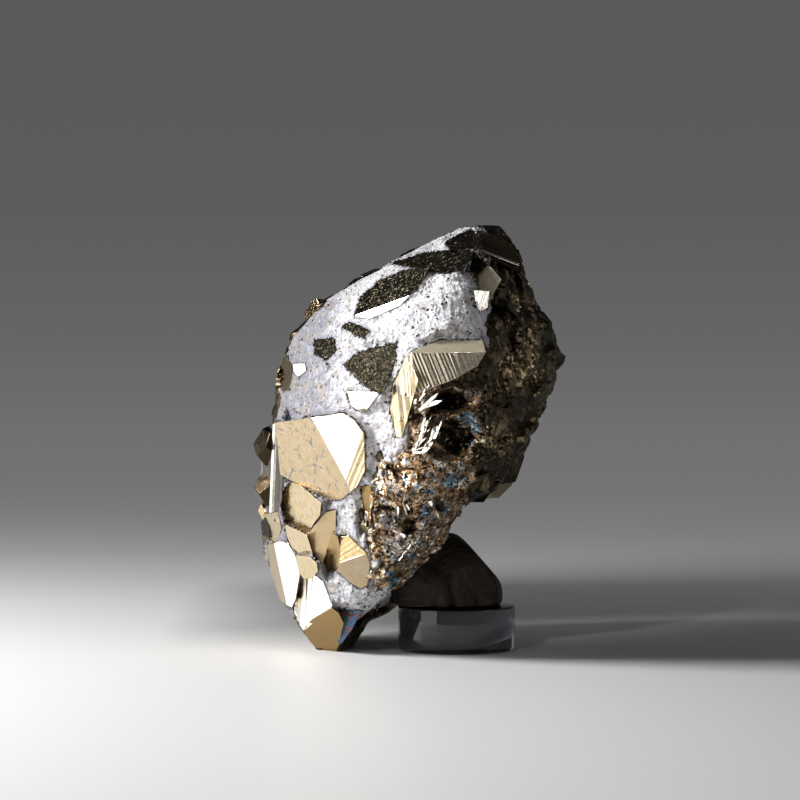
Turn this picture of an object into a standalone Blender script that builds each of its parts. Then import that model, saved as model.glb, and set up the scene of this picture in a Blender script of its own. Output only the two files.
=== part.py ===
"""Pyrite cluster propped on a lump of mounting putty and a clear acrylic disc."""
import math
import random

import bmesh
import bpy
import numpy as np
from mathutils import Euler, Matrix, Vector, noise
from mathutils.geometry import convex_hull_2d

MM = 0.001

# Driving dimensions, in millimetres. The origin is the centre of the disc's underside.
DISC_RADIUS = 12.7
DISC_HEIGHT = 9.5
DISC_CHAMFER = 0.35
STONE_HEIGHT = 92.0
CRUST = 6.0
GAP = 0.3

# The stone's form: six long edges that run from its foot to its crest, in the order
# that they follow round it. Each point is a height, then the edge's plan position.
LEFT_EDGE = (
    (0, -30.5, 3), (3, -33.5, 4), (10, -37.5, 6), (18, -41, 8), (26, -42.5, 10), (36, -42, 11),
    (50, -40, 12), (61, -38.5, 12), (68, -36, 12), (76, -28.5, 12), (82, -18.5, 12), (87, -9, 11),
    (92, 2, 8),
)
BROW_EDGE = (
    (0, -30, -3), (10, -26, -12), (20, -20, -19), (33, -19, -22), (48, -11.5, -25.5), (65, -10, -25.5),
    (76, -6, -21), (84, -1.5, -13), (92, 4, 1),
)
CHEEK_EDGE = (
    (0, -25, -6), (6, -22.5, -9), (14, -15.5, -13), (22, -9, -16), (31, -4, -19), (40, 2, -21),
    (50, 6, -22), (65, 7, -21.5), (75, 8, -17.5), (82, 8.5, -13), (88, 8, -6), (92, 7.5, 2),
)
RIGHT_EDGE = (
    (0, -22.5, 6), (10, -15, 5), (18, -7.5, 4), (26, -1.5, 3), (31, 1, 3), (35, 9.5, 5), (44, 15.5, 6),
    (54, 20.5, 7), (64, 23.2, 8), (70, 21, 8), (76, 17.5, 8.5), (84, 14.5, 9), (89, 12.5, 8), (92, 9.5, 6),
)
BACK_RIGHT_EDGE = (
    (0, -24, 16), (10, -19, 20), (26, -10, 24), (44, 2, 27), (60, 9, 27), (74, 10, 22), (86, 10, 16),
    (92, 8, 10),
)
BACK_LEFT_EDGE = (
    (0, -29, 16), (10, -32, 22), (26, -33, 29), (44, -30, 33), (60, -24, 33), (74, -15, 27), (86, -3, 19),
    (92, 4, 11),
)
LONG_EDGES = (LEFT_EDGE, BROW_EDGE, CHEEK_EDGE, RIGHT_EDGE, BACK_RIGHT_EDGE, BACK_LEFT_EDGE)
# How finely the skin and the crust's inner face are modelled: levels up, points round.
SKIN_GRID = (26, 34)
CORE_GRID = (12, 16)
# The heights that the core under the crust runs between, and the least arm that an inset leaves
# of it, as a share of the form's.
CORE_HEIGHTS = (1.5, 86.0)
LEAST_ARM = 0.15

# The skin's relief, in heights and sizes: lumps and chips where the pyrite is bare, which is
# between two turns round the form, and a calm swell under the crust. It dies out at the foot.
BARE_TURNS = (0.3, 0.95)
LUMP_RISE, LUMP_SIZE, LUMP_SINK = 2.4, 8.3, 0.8
CHIP_RISE, CHIP_SIZE = 0.6, 2.9
SWELL_RISE, SWELL_SIZE = 0.5, 3.3
CALM_FOOT = 6.0

# The side that carries the white crust, as the front view shows it (across, up): a convex
# region, less the druse that runs down from the striated crystal to the foot.
CRUST_REGION = ((5.5, 100), (6.6, 67), (-12.7, 12.5), (-25, 1), (-25, -5), (-60, -5), (-60, 100))
DRUSE_REGION = (
    (20, 67.5), (-7, 66), (-11.9, 54.5), (-18.2, 37.7), (-20.7, 29.3), (-19, 21.4), (-14, 13.6), (10, 10),
)
# How far back the crust's country and the druse's reach.
CRUST_BACK = 10.0
DRUSE_BACK = 14.0

# Crystals set in the crust: the outline that each shows from the front (across, up), the
# point that its faces meet at, and the azimuth and elevation that each face looks in.
EMBEDDED = {
    "great_octahedron": (
        ((-39.1, 49.3), (-24.3, 51.8), (-21.9, 50.4), (-19.8, 47.5), (-19.6, 39.8), (-21.3, 36.4),
         (-24.8, 33.4), (-27.3, 32.9), (-38.3, 37.9)),
        (-23.7, -20.4, 37.7), ((27, 3), (52, -13), (20.4, 0.5)),
    ),
    "pentagon": (
        ((-37.5, 34.5), (-35.8, 36.4), (-34.0, 36.2), (-29.0, 32.6), (-29.3, 30.0), (-32.3, 25.5),
         (-37.3, 27.4), (-38.2, 31.1)),
        (-33.3, -7.2, 31.0), ((62, -8),),
    ),
    "low_tan": (
        ((-37.2, 26.8), (-36.9, 24.6), (-34.8, 20.9), (-31.0, 21.3), (-32.2, 25.4)),
        (-33.8, -5.5, 22.9), ((62, -22),),
    ),
    "grey_wedge": (
        ((-32.2, 25.3), (-28.2, 30.6), (-25.8, 31.2), (-25.8, 26.9), (-28.3, 22.3), (-30.1, 21.1)),
        (-28.7, -12.4, 26.2), ((45, -12),),
    ),
    "dark_wedge": (
        ((-25.4, 25.6), (-24.9, 22.9), (-25.6, 18.0), (-27.5, 17.5), (-28.3, 20.1)),
        (-26.3, -14.0, 22.1), ((50, -28),),
    ),
    "striated_block": (
        ((-24.7, 25.7), (-23.2, 25.9), (-19.4, 22.5), (-18.6, 19.8), (-19.2, 15.3), (-20.7, 14.4),
         (-25.5, 18.2)),
        (-22.0, -19.2, 21.3), ((30, 6), (18.6, -25)),
    ),
    "small_tan": (
        ((-34.8, 20.5), (-31.8, 20.6), (-30.0, 19.4), (-31.3, 15.9), (-33.1, 15.3)),
        (-33.0, -5.8, 18.0), ((62, -18),),
    ),
    "left_flank": (
        ((-40.4, 22.2), (-38.5, 23.2), (-36.6, 22.9), (-34.0, 16.2), (-35.6, 9.2), (-38.4, 10.4)),
        (-38.4, 1.5, 16.0), ((46, 0), (72, -8)),
    ),
    "low_block": (
        ((-32.6, 15.7), (-30.7, 16.8), (-28.7, 15.5), (-26.7, 10.3), (-33.1, 4.3), (-35.8, 8.4),
         (-34.8, 13.0)),
        (-31.6, -7.4, 10.6), ((42, -4), (74, 3)),
    ),
    "foot": (
        ((-33.2, 4.5), (-31.3, 7.1), (-26.8, 10.3), (-24.3, 7.0), (-26.1, -0.2), (-28.9, -0.2),
         (-31.2, 1.0)),
        (-28.4, -8.1, 4.9), ((40, -35),),
    ),
    "pitted_shield": (
        ((-25.0, 61.2), (-23.3, 62.9), (-19.7, 65.0), (-13.1, 66.3), (-13.8, 60.8), (-15.2, 56.3),
         (-19.4, 52.0), (-21.8, 52.8), (-23.7, 56.1)),
        (-19.0, -20.5, 56.2), ((46, 22), (42, -8)),
    ),
    "long_shield": (
        ((-21.9, 72.0), (-20.9, 76.1), (-16.6, 80.0), (-10.2, 82.3), (-5.9, 82.4), (-8.7, 78.1),
         (-12.3, 74.3), (-18.7, 71.6)),
        (-17.0, -13.2, 74.1), ((53, 42), (40, 5)),
    ),
    "crest_shield": (
        ((-14.4, 83.8), (-6.9, 85.9), (2.2, 86.7), (3.0, 84.5), (0.8, 81.9), (-2.8, 81.0), (-6.3, 82.4)),
        (-4.8, -9.6, 83.7), ((54, 54),),
    ),
    "crest_tip": (
        ((-2.6, 88.3), (2.8, 91.0), (5.7, 88.5), (4.7, 86.9), (-1.6, 86.0)),
        (1.6, -6.4, 88.5), ((40, 62),),
    ),
    "crest_striated": (
        ((4.4, 90.6), (10.3, 89.0), (13.9, 84.3), (13.6, 81.4), (5.8, 85.0)),
        (9.8, -6.5, 86.4), ((-40, 30),),
    ),
    "crest_beige": (
        ((6.0, 83.7), (9.1, 79.8), (7.0, 76.3), (3.9, 77.6), (3.9, 80.5), (5.3, 82.6)),
        (6.2, -16.5, 80.0), ((10, 25),),
    ),
    "crest_white": (
        ((3.1, 77.6), (6.4, 77.3), (6.0, 73.8), (4.4, 73.0), (3.4, 74.4)),
        (4.8, -22.0, 75.5), ((25, 0),),
    ),
    "striated_crystal": (
        ((-14.0, 56.7), (-11.3, 63.4), (-9.8, 64.9), (-4.0, 67.1), (4.9, 67.1), (5.4, 64.7), (3.7, 61.8),
         (-1.0, 59.1), (-8.2, 58.3), (-11.1, 55.1)),
        (-9.8, -29.0, 64.5), ((9, 4), (58, 2), (10, 60)),
    ),
    "striated_blade": (
        ((-13.8, 57.7), (-11.3, 63.4), (-9.4, 61.0), (-8.6, 58.7), (-10.2, 55.4), (-11.9, 47.0),
         (-13.1, 46.9), (-14.4, 52.9)),
        (-9.8, -29.0, 64.5), ((58, 2),),
    ),
    "upper_chip": (
        ((-24.9, 69.9), (-23.0, 70.9), (-18.6, 69.2), (-20.3, 67.5)),
        (-21.9, -11.9, 69.2), ((52, 36),),
    ),
    "brow_chip": (
        ((-30.8, 67.1), (-26.5, 67.5), (-26.0, 64.9), (-28.3, 62.8), (-30.8, 64.1)),
        (-28.4, -5.9, 64.9), ((58, 28),),
    ),
    "left_brow": (
        ((-38.1, 54.9), (-37.7, 61.3), (-35.9, 62.2), (-33.0, 61.8), (-33.6, 58.4), (-34.2, 55.1)),
        (-35.4, 2.8, 58.8), ((72, 5), (45, 10)),
    ),
    "left_edge_blade": (
        ((-43.4, 46.6), (-38.5, 49.7), (-37.4, 39.2), (-38.0, 32.6), (-39.4, 27.2), (-42.4, 28.8),
         (-43.7, 37.4)),
        (-40.6, 8.2, 38.5), ((66, 0),),
    ),
    "left_edge_lump": (
        ((-42.8, 28.4), (-38.9, 29.8), (-38.1, 25.9), (-39.7, 22.2), (-42.4, 23.9)),
        (-40.3, 6.8, 25.5), ((70, -10),),
    ),
    "foot_strip": (
        ((-25.4, 9.7), (-20.5, 9.5), (-22.5, 5.3), (-25.0, 1.8), (-26.2, 3.0)),
        (-23.6, -11.6, 8.0), ((22, -18),),
    ),
}
# How far back a set crystal reaches behind its meeting point, and the size of the block that every
# crystal is cut from.
ROOT_DEPTH = 13.0
DEEP_ROOTS = {"great_octahedron": 22.0}
BLOCK = 400.0

# Crystals of a whole form on the left edge and under the overhang: centre, radius, turn about each axis.
EDGE_CRYSTALS = (
    ((-40.0, 13.0, 43.5), 4.6, (20, 30, 10)),
    ((-40.5, 13.5, 33.5), 4.2, (50, 10, 70)),
    ((-39.0, 12.0, 25.5), 4.0, (10, 60, 35)),
    ((3.6, 5.0, 36.4), 5.0, (15, 25, 40)),
    ((10.5, 9.0, 40.0), 4.6, (35, 5, 20)),
)

# Free crystals spread over the back, the left edge's rear and the druse: seed, heights, turns
# round the form, spacing, least and greatest radius, and the share of a radius that is sunk.
SPREADS = (
    (11, (8, 84), (0.55, 0.9), 11.0, (4.5, 7.5), 0.45),
    (7, (14, 84), (0.9, 0.98), 9.5, (3.0, 4.5), 0.7),
    (23, (15, 50), (0.17, 0.38), 5.6, (1.4, 2.3), 0.45),
)

# The habits that the free crystals take: the directions of their faces and how far out each lies.
OCTAHEDRON = [(Vector((x, y, z)).normalized(), 0.72) for x in (-1, 1) for y in (-1, 1) for z in (-1, 1)]
CUBE = [(Vector(axis) * sign, 0.8) for axis in ((1, 0, 0), (0, 1, 0), (0, 0, 1)) for sign in (-1, 1)]
PYRITOHEDRON = [
    (Vector(axes).normalized(), 0.86)
    for a in (-2, 2)
    for b in (-1, 1)
    for axes in ((a, b, 0), (0, a, b), (b, 0, a))
]
HABITS = (OCTAHEDRON + CUBE, PYRITOHEDRON, CUBE + [(n, 0.98) for n, _ in OCTAHEDRON], PYRITOHEDRON)

# The putty: a ball about its centre, made boxier and lumpy, and pressed flat where each plane
# cuts it. Its gap to the stone is wider than the crystals' own.
PUTTY_CENTRE = Vector((-1.5, 0.5, 14.5))
PUTTY_REACH = Vector((13.4, 11.5, 12.0))
PUTTY_BOXINESS = 0.8
PUTTY_LUMP_RISE, PUTTY_LUMP_SIZE = 1.6, 8.3
PUTTY_GAP = 1.5 * GAP
PUTTY_FLATS = (
    ((4.7, 0, 23.1), (-80, 66)), ((4.9, -2, 22.9), (-95, 31)), ((9.9, 0, 12), (-84, 2)),
    ((0, -10.4, 14), (-10, 14)), ((2, -8, 20), (0, 40)), ((4, 10.2, 16), (200, 20)),
)


def hermite(before, start, end, after, t):
    """A point on the smooth curve from start to end, whose slopes come from the points around them."""
    heights = [p[0] for p in (before, start, end, after)]
    spots = [np.array(p[1:], float) for p in (before, start, end, after)]
    span = heights[2] - heights[1]
    into = (spots[2] - spots[0]) / (heights[2] - heights[0]) * span
    out = (spots[3] - spots[1]) / (heights[3] - heights[1]) * span
    return (
        (2 * t**3 - 3 * t**2 + 1) * spots[1]
        + (t**3 - 2 * t**2 + t) * into
        + (3 * t**2 - 2 * t**3) * spots[2]
        + (t**3 - t**2) * out
    )


def edge_at(edge, height):
    """The plan position of a long edge at a height."""
    last = len(edge) - 1
    i = sum(1 for point in edge[1:-1] if point[0] <= height)
    t = (height - edge[i][0]) / (edge[i + 1][0] - edge[i][0])
    return hermite(edge[max(0, i - 1)], edge[i], edge[i + 1], edge[min(last, i + 2)], t)


def plan_point(height, turn, inset=0.0):
    """A point on the stone's form: turn runs 0 to 1 from the left edge, by way of the front, round it."""
    corners = [edge_at(edge, height) for edge in LONG_EDGES]
    centre = sum(corners) / len(corners)
    i, t = divmod(len(corners) * (turn % 1.0), 1.0)
    around = [(j, *corners[(int(i) + j) % len(corners)]) for j in (-1, 0, 1, 2)]
    arm = hermite(*around, t) - centre
    arm *= max(LEAST_ARM, 1.0 - inset / np.linalg.norm(arm))
    return Vector((*(centre + arm), height)), Vector((*arm, 0.0)).normalized()


def relief(point, turn):
    """How far the stone's skin stands out of its smooth form: hackly where bare, else calm."""
    near, second = noise.voronoi(point / LUMP_SIZE)[0][:2]
    lumps = LUMP_RISE * min(second - near, 0.5) - LUMP_SINK
    hackly = lumps + CHIP_RISE * noise.noise(point / CHIP_SIZE)
    calm = SWELL_RISE * noise.noise(point / SWELL_SIZE)
    height = hackly if BARE_TURNS[0] < turn < BARE_TURNS[1] else calm
    return height * min(1.0, point.z / CALM_FOOT)


def stone_form(name, grid, heights=(0.0, STONE_HEIGHT), inset=0.0, rough=False):
    """The stone's form between two heights, as one closed skin."""
    levels, count = grid
    low, high = heights
    bm = bmesh.new()
    loops = []
    for level in range(levels + 1):
        height = low + (high - low) * level / levels
        loop = []
        for k in range(count):
            point, outward = plan_point(height, k / count, inset)
            if rough:
                point += outward * relief(plan_point(height, k / count)[0], k / count)
            loop.append(bm.verts.new(point))
        loops.append(loop)
    for below, above in zip(loops, loops[1:]):
        for k in range(count):
            n = (k + 1) % count
            bm.faces.new((below[k], below[n], above[n], above[k]))
    bm.faces.new(reversed(loops[0]))
    bm.faces.new(loops[-1])
    bmesh.ops.triangulate(bm, faces=bm.faces)
    return to_object(name, bm)


def to_object(name, bm):
    """The object that holds a bmesh, which it frees."""
    mesh = bpy.data.meshes.new(name)
    bm.to_mesh(mesh)
    bm.free()
    obj = bpy.data.objects.new(name, mesh)
    bpy.context.scene.collection.objects.link(obj)
    return obj


def facing(azimuth, elevation):
    """The direction that a face looks in: azimuth 0 is the front, 90 the left, and elevation 90 is up."""
    a, e = math.radians(azimuth), math.radians(elevation)
    return Vector((-math.sin(a) * math.cos(e), -math.cos(a) * math.cos(e), math.sin(e)))


def polyhedron(planes, grow=0.0):
    """The convex solid behind every plane, each a point on it and its outward direction."""
    bm = bmesh.new()
    bmesh.ops.create_cube(bm, size=BLOCK)
    for point, outward in planes:
        geom = [*bm.verts, *bm.edges, *bm.faces]
        cut = bmesh.ops.bisect_plane(
            bm, geom=geom, plane_co=point + outward * grow, plane_no=outward, clear_outer=True
        )
        rim = [part for part in cut["geom_cut"] if isinstance(part, bmesh.types.BMEdge)]
        if len(rim) > 2:
            bmesh.ops.edgeloop_fill(bm, edges=rim)
    bmesh.ops.recalc_face_normals(bm, faces=bm.faces)
    return bm


def prism_planes(outline):
    """The upright planes, seen edge-on from the front, that bound a convex outline (across, up)."""
    corners = [outline[i] for i in convex_hull_2d([Vector(p) for p in outline])]
    middle = Vector((sum(p[0] for p in corners), 0, sum(p[1] for p in corners))) / len(corners)
    planes = []
    for start, end in zip(corners, corners[1:] + corners[:1]):
        outward = Vector((end[1] - start[1], 0, start[0] - end[0])).normalized()
        point = Vector((start[0], 0, start[1]))
        if outward.dot(point - middle) < 0:
            outward = -outward
        planes.append((point, outward))
    return planes


def region(outline, back, grow=0.0):
    """The part of space in front of a back plane and inside an outline in the front view."""
    planes = prism_planes(outline)
    planes.append((Vector((0, back, 0)), Vector((0, 1, 0))))
    return to_object("region", polyhedron(planes, grow))


def embedded_planes(name):
    """A crystal set in the crust: its outline run back into the stone, cut by its faces."""
    outline, meeting, looks = EMBEDDED[name]
    meeting = Vector(meeting)
    root = Vector((0, DEEP_ROOTS.get(name, ROOT_DEPTH), 0))
    planes = prism_planes(outline)
    planes += [(meeting, facing(*look)) for look in looks]
    planes.append((meeting + root, Vector((0, 1, 0))))
    planes.append((Vector((0, 0, 0)), Vector((0, 0, -1))))
    return planes


def free_planes(centre, radius, turns, habit):
    """A crystal of a whole form about a centre, clear of the ground."""
    spin = Euler([math.radians(a) for a in turns]).to_matrix()
    planes = [(Vector(centre) + spin @ n * radius * out, spin @ n) for n, out in habit]
    planes.append((Vector((0, 0, 0)), Vector((0, 0, -1))))
    return planes


def scattered(seed, heights, turns, spacing, radii, sunk):
    """Free crystals over a stretch of the stone, one to each cell of a jittered grid."""
    rng = random.Random(seed)
    crystals = []
    height = heights[0]
    while height < heights[1]:
        low, _ = plan_point(height, turns[0])
        high, _ = plan_point(height, turns[1])
        middle, _ = plan_point(height, (turns[0] + turns[1]) / 2)
        girth = (middle - low).length + (high - middle).length
        count = max(1, round(girth / spacing))
        for k in range(count):
            turn = turns[0] + (turns[1] - turns[0]) * (k + rng.uniform(0.15, 0.85)) / count
            radius = rng.uniform(*radii)
            level = min(STONE_HEIGHT - 1, max(1, height + rng.uniform(-0.35, 0.35) * spacing))
            point, outward = plan_point(level, turn, radius * sunk)
            turned = [rng.uniform(0, 90) for _ in range(3)]
            crystals.append(free_planes(point, radius, turned, rng.choice(HABITS)))
        height += spacing * 0.9
    return crystals


def combine(target, operation, tool):
    """The target after a Boolean with a tool, which is used up."""
    step = target.modifiers.new("combine", "BOOLEAN")
    step.operation = operation
    step.object = tool
    evaluated = target.evaluated_get(bpy.context.evaluated_depsgraph_get())
    mesh = bpy.data.meshes.new_from_object(evaluated)
    target.modifiers.clear()
    old = target.data
    target.data = mesh
    bpy.data.meshes.remove(old)
    bpy.data.objects.remove(tool)


def keep_largest(obj):
    """Drops every loose chip and sealed void from an object, and makes its faces triangles."""
    bm = bmesh.new()
    bm.from_mesh(obj.data)
    unseen = set(bm.faces)
    shells = []
    while unseen:
        shell = {unseen.pop()}
        to_visit = list(shell)
        while to_visit:
            for edge in to_visit.pop().edges:
                for other in edge.link_faces:
                    if other in unseen:
                        unseen.discard(other)
                        shell.add(other)
                        to_visit.append(other)
        shells.append(shell)
    shells.sort(key=len)
    for shell in shells[:-1]:
        bmesh.ops.delete(bm, geom=list(shell), context="FACES")
    bmesh.ops.triangulate(bm, faces=bm.faces)
    bm.to_mesh(obj.data)
    bm.free()


def finish(obj, colour, roughness, metallic=0.0, transmission=0.0):
    """Brings a piece modelled in millimetres to its real size, and gives it a material of its own."""
    obj.data.transform(Matrix.Scale(MM, 4))
    material = bpy.data.materials.new(obj.name)
    material.use_nodes = True
    shader = material.node_tree.nodes["Principled BSDF"]
    shader.inputs["Base Color"].default_value = (*colour, 1.0)
    shader.inputs["Roughness"].default_value = roughness
    shader.inputs["Metallic"].default_value = metallic
    shader.inputs["Transmission Weight"].default_value = transmission
    obj.data.materials.clear()
    obj.data.materials.append(material)


def all_crystals():
    """The planes of every crystal: set in the crust, on the edges, over the back and in the druse."""
    crystals = [embedded_planes(name) for name in EMBEDDED]
    crystals += [free_planes(*place, PYRITOHEDRON) for place in EDGE_CRYSTALS]
    for spread in SPREADS:
        crystals += scattered(*spread)
    return crystals


def make_pyrite():
    """The massive pyrite, its druse and every crystal, grown together into one solid."""
    mass = stone_form("pyrite", SKIN_GRID, rough=True)
    pocket = region(CRUST_REGION, CRUST_BACK)
    combine(pocket, "DIFFERENCE", region(DRUSE_REGION, DRUSE_BACK))
    combine(mass, "DIFFERENCE", pocket)
    combine(mass, "UNION", stone_form("core", CORE_GRID, CORE_HEIGHTS, inset=CRUST))
    for planes in all_crystals():
        combine(mass, "UNION", to_object("crystal", polyhedron(planes)))
    keep_largest(mass)
    finish(mass, (0.62, 0.5, 0.27), 0.25, metallic=1.0)


def make_quartz():
    """The white crust that fills the ground between the crystals of the display side."""
    crust = stone_form("quartz_matrix", SKIN_GRID, rough=True)
    combine(crust, "INTERSECT", region(CRUST_REGION, CRUST_BACK, -GAP))
    combine(crust, "DIFFERENCE", region(DRUSE_REGION, DRUSE_BACK, GAP))
    hollow = (CORE_HEIGHTS[0] - GAP, CORE_HEIGHTS[1] + GAP)
    combine(crust, "DIFFERENCE", stone_form("core", CORE_GRID, hollow, inset=CRUST - GAP))
    for planes in all_crystals():
        combine(crust, "DIFFERENCE", to_object("crystal", polyhedron(planes, GAP)))
    keep_largest(crust)
    finish(crust, (0.75, 0.75, 0.76), 0.6)


def make_putty():
    """A kneaded lump pressed between the disc and the stone's overhang."""
    bm = bmesh.new()
    bmesh.ops.create_icosphere(bm, subdivisions=3, radius=1.0)
    for v in bm.verts:
        boxed = Vector([math.copysign(abs(c) ** PUTTY_BOXINESS, c) for c in v.co])
        spot = PUTTY_CENTRE + Vector([a * b for a, b in zip(boxed, PUTTY_REACH)])
        v.co = spot + boxed * PUTTY_LUMP_RISE * noise.noise(spot / PUTTY_LUMP_SIZE)
    lump = to_object("mounting_putty", bm)
    flats = [(Vector(point), facing(*look)) for point, look in PUTTY_FLATS]
    flats.append((Vector((0, 0, DISC_HEIGHT + GAP)), Vector((0, 0, -1))))
    combine(lump, "INTERSECT", to_object("flats", polyhedron(flats)))
    combine(lump, "DIFFERENCE", stone_form("stone", SKIN_GRID, inset=-PUTTY_GAP, rough=True))
    for planes in all_crystals():
        combine(lump, "DIFFERENCE", to_object("crystal", polyhedron(planes, GAP)))
    keep_largest(lump)
    finish(lump, (0.11, 0.08, 0.065), 0.6)


def make_disc():
    """The clear disc that the putty sits on."""
    bm = bmesh.new()
    bmesh.ops.create_cone(
        bm, cap_ends=True, segments=48, radius1=DISC_RADIUS, radius2=DISC_RADIUS, depth=DISC_HEIGHT
    )
    bmesh.ops.translate(bm, vec=(0, 0, DISC_HEIGHT / 2), verts=bm.verts)
    rims = [e for e in bm.edges if len(e.link_faces) == 2 and any(len(f.verts) > 4 for f in e.link_faces)]
    bmesh.ops.bevel(bm, geom=rims, offset=DISC_CHAMFER, segments=1, affect="EDGES")
    disc = to_object("acrylic_disc", bm)
    finish(disc, (0.95, 0.96, 0.97), 0.05, transmission=1.0)


for old in list(bpy.data.objects):
    bpy.data.objects.remove(old)
make_pyrite()
make_quartz()
make_putty()
make_disc()
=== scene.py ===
# %% [markdown]
# # A pyrite cluster, leaning on putty and a clear disc
#
# Pyrite is a mirror. Its crystals have almost no colour of their own to show: each flat face
# shows whatever part of the room it looks at, tinted gold. So this scene is built in two
# halves that need each other: crystal faces at the right angles, and a studio with a bright
# side, a pale table and a dark ceiling for them to look at.
#
# The imported model comes first. Everything below is fitted to it.

# %% Load the imported model
import math
import random

import bmesh
import bpy
import numpy as np
from mathutils import Euler, Matrix, Vector, noise
from mathutils.geometry import convex_hull_2d


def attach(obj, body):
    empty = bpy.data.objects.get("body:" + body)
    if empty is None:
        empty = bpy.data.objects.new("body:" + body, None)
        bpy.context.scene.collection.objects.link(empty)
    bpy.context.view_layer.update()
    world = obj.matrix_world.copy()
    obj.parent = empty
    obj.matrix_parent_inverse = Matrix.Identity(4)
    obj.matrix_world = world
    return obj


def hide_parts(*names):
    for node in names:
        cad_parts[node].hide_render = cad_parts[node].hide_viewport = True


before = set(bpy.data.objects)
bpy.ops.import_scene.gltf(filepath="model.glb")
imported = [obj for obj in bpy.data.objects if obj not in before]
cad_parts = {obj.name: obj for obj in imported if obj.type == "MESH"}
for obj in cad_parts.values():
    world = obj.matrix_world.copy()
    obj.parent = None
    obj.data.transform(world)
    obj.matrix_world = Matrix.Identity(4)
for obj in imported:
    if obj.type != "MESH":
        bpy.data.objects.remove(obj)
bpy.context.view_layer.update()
MM = 0.001

# %% [markdown]
# ## The camera
#
# The display side is seen level and from far off, through a long lens, so the stone keeps its
# proportions. The camera stands at the height of the stone's upper half and looks down a
# touch.

# %% Camera
EYE = Vector((-12.3, -600.0, 68.7)) * MM
PITCH_DOWN = 1.4
LENS = 124.4
HALF_SENSOR = 18


def show(name, data):
    """Puts a mesh, a light or a camera in the scene, as an object."""
    obj = bpy.data.objects.new(name, data)
    bpy.context.scene.collection.objects.link(obj)
    return obj


camera_data = bpy.data.cameras.new("camera")
camera_data.lens = LENS
camera_data.clip_start = 0.01
camera = show("camera", camera_data)
camera.location = EYE
camera.rotation_euler = (math.radians(90 - PITCH_DOWN), 0, 0)
bpy.context.scene.camera = camera
bpy.context.scene.view_settings.view_transform = "Standard"
print("camera", round(math.degrees(2 * math.atan(HALF_SENSOR / LENS)), 1), "degrees wide")

# %% [markdown]
# ## Writing materials as sums
#
# A material is a tree of nodes, and wiring one by hand hides what it computes. Here a socket
# is wrapped in a small class whose operators add the Math node they stand for, so that
# `0.2 + 0.1 * grain` is both the formula and the wiring. Every other node comes from one
# method. Colours never go through Math nodes, which would turn them grey: `mask.mix(a, b)`
# blends them.

# %% Shader sockets that add up
def fill_ramp(ramp, stops):
    """Gives a colour ramp its stops, each a position and a colour."""
    while len(ramp.elements) < len(stops):
        ramp.elements.new(1.0)
    for element, (position, colour) in zip(ramp.elements, stops):
        element.position = position
        element.color = (*colour, 1.0)


class Wire:
    """The output of a node. Arithmetic on it adds Math nodes."""

    def __init__(self, finish, socket):
        self.finish = finish
        self.socket = socket

    def maths(self, operation, *values, clamp=False):
        settings = {"operation": operation, "use_clamp": clamp}
        return self.finish.node("Math", settings, dict(enumerate(values)))

    def __add__(self, other):
        return self.maths("ADD", self, other)

    def __sub__(self, other):
        return self.maths("SUBTRACT", self, other)

    def __rsub__(self, other):
        return self.maths("SUBTRACT", other, self)

    def __mul__(self, other):
        return self.maths("MULTIPLY", self, other)

    __radd__ = __add__
    __rmul__ = __mul__

    def clipped(self):
        """The same value, kept between 0 and 1."""
        return self.maths("ADD", self, 0.0, clamp=True)

    def step(self, low, high):
        """0 below low, 1 above high, and a smooth rise in between."""
        settings = {"interpolation_type": "SMOOTHSTEP"}
        return self.finish.node("MapRange", settings, {0: self, 1: low, 2: high})

    def mix(self, first, second):
        """A blend of two colours: the first where this is 0, the second where it is 1."""
        sockets = {0: self, 6: first, 7: second}
        return self.finish.node("Mix", {"data_type": "RGBA"}, sockets, output=2)


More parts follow.
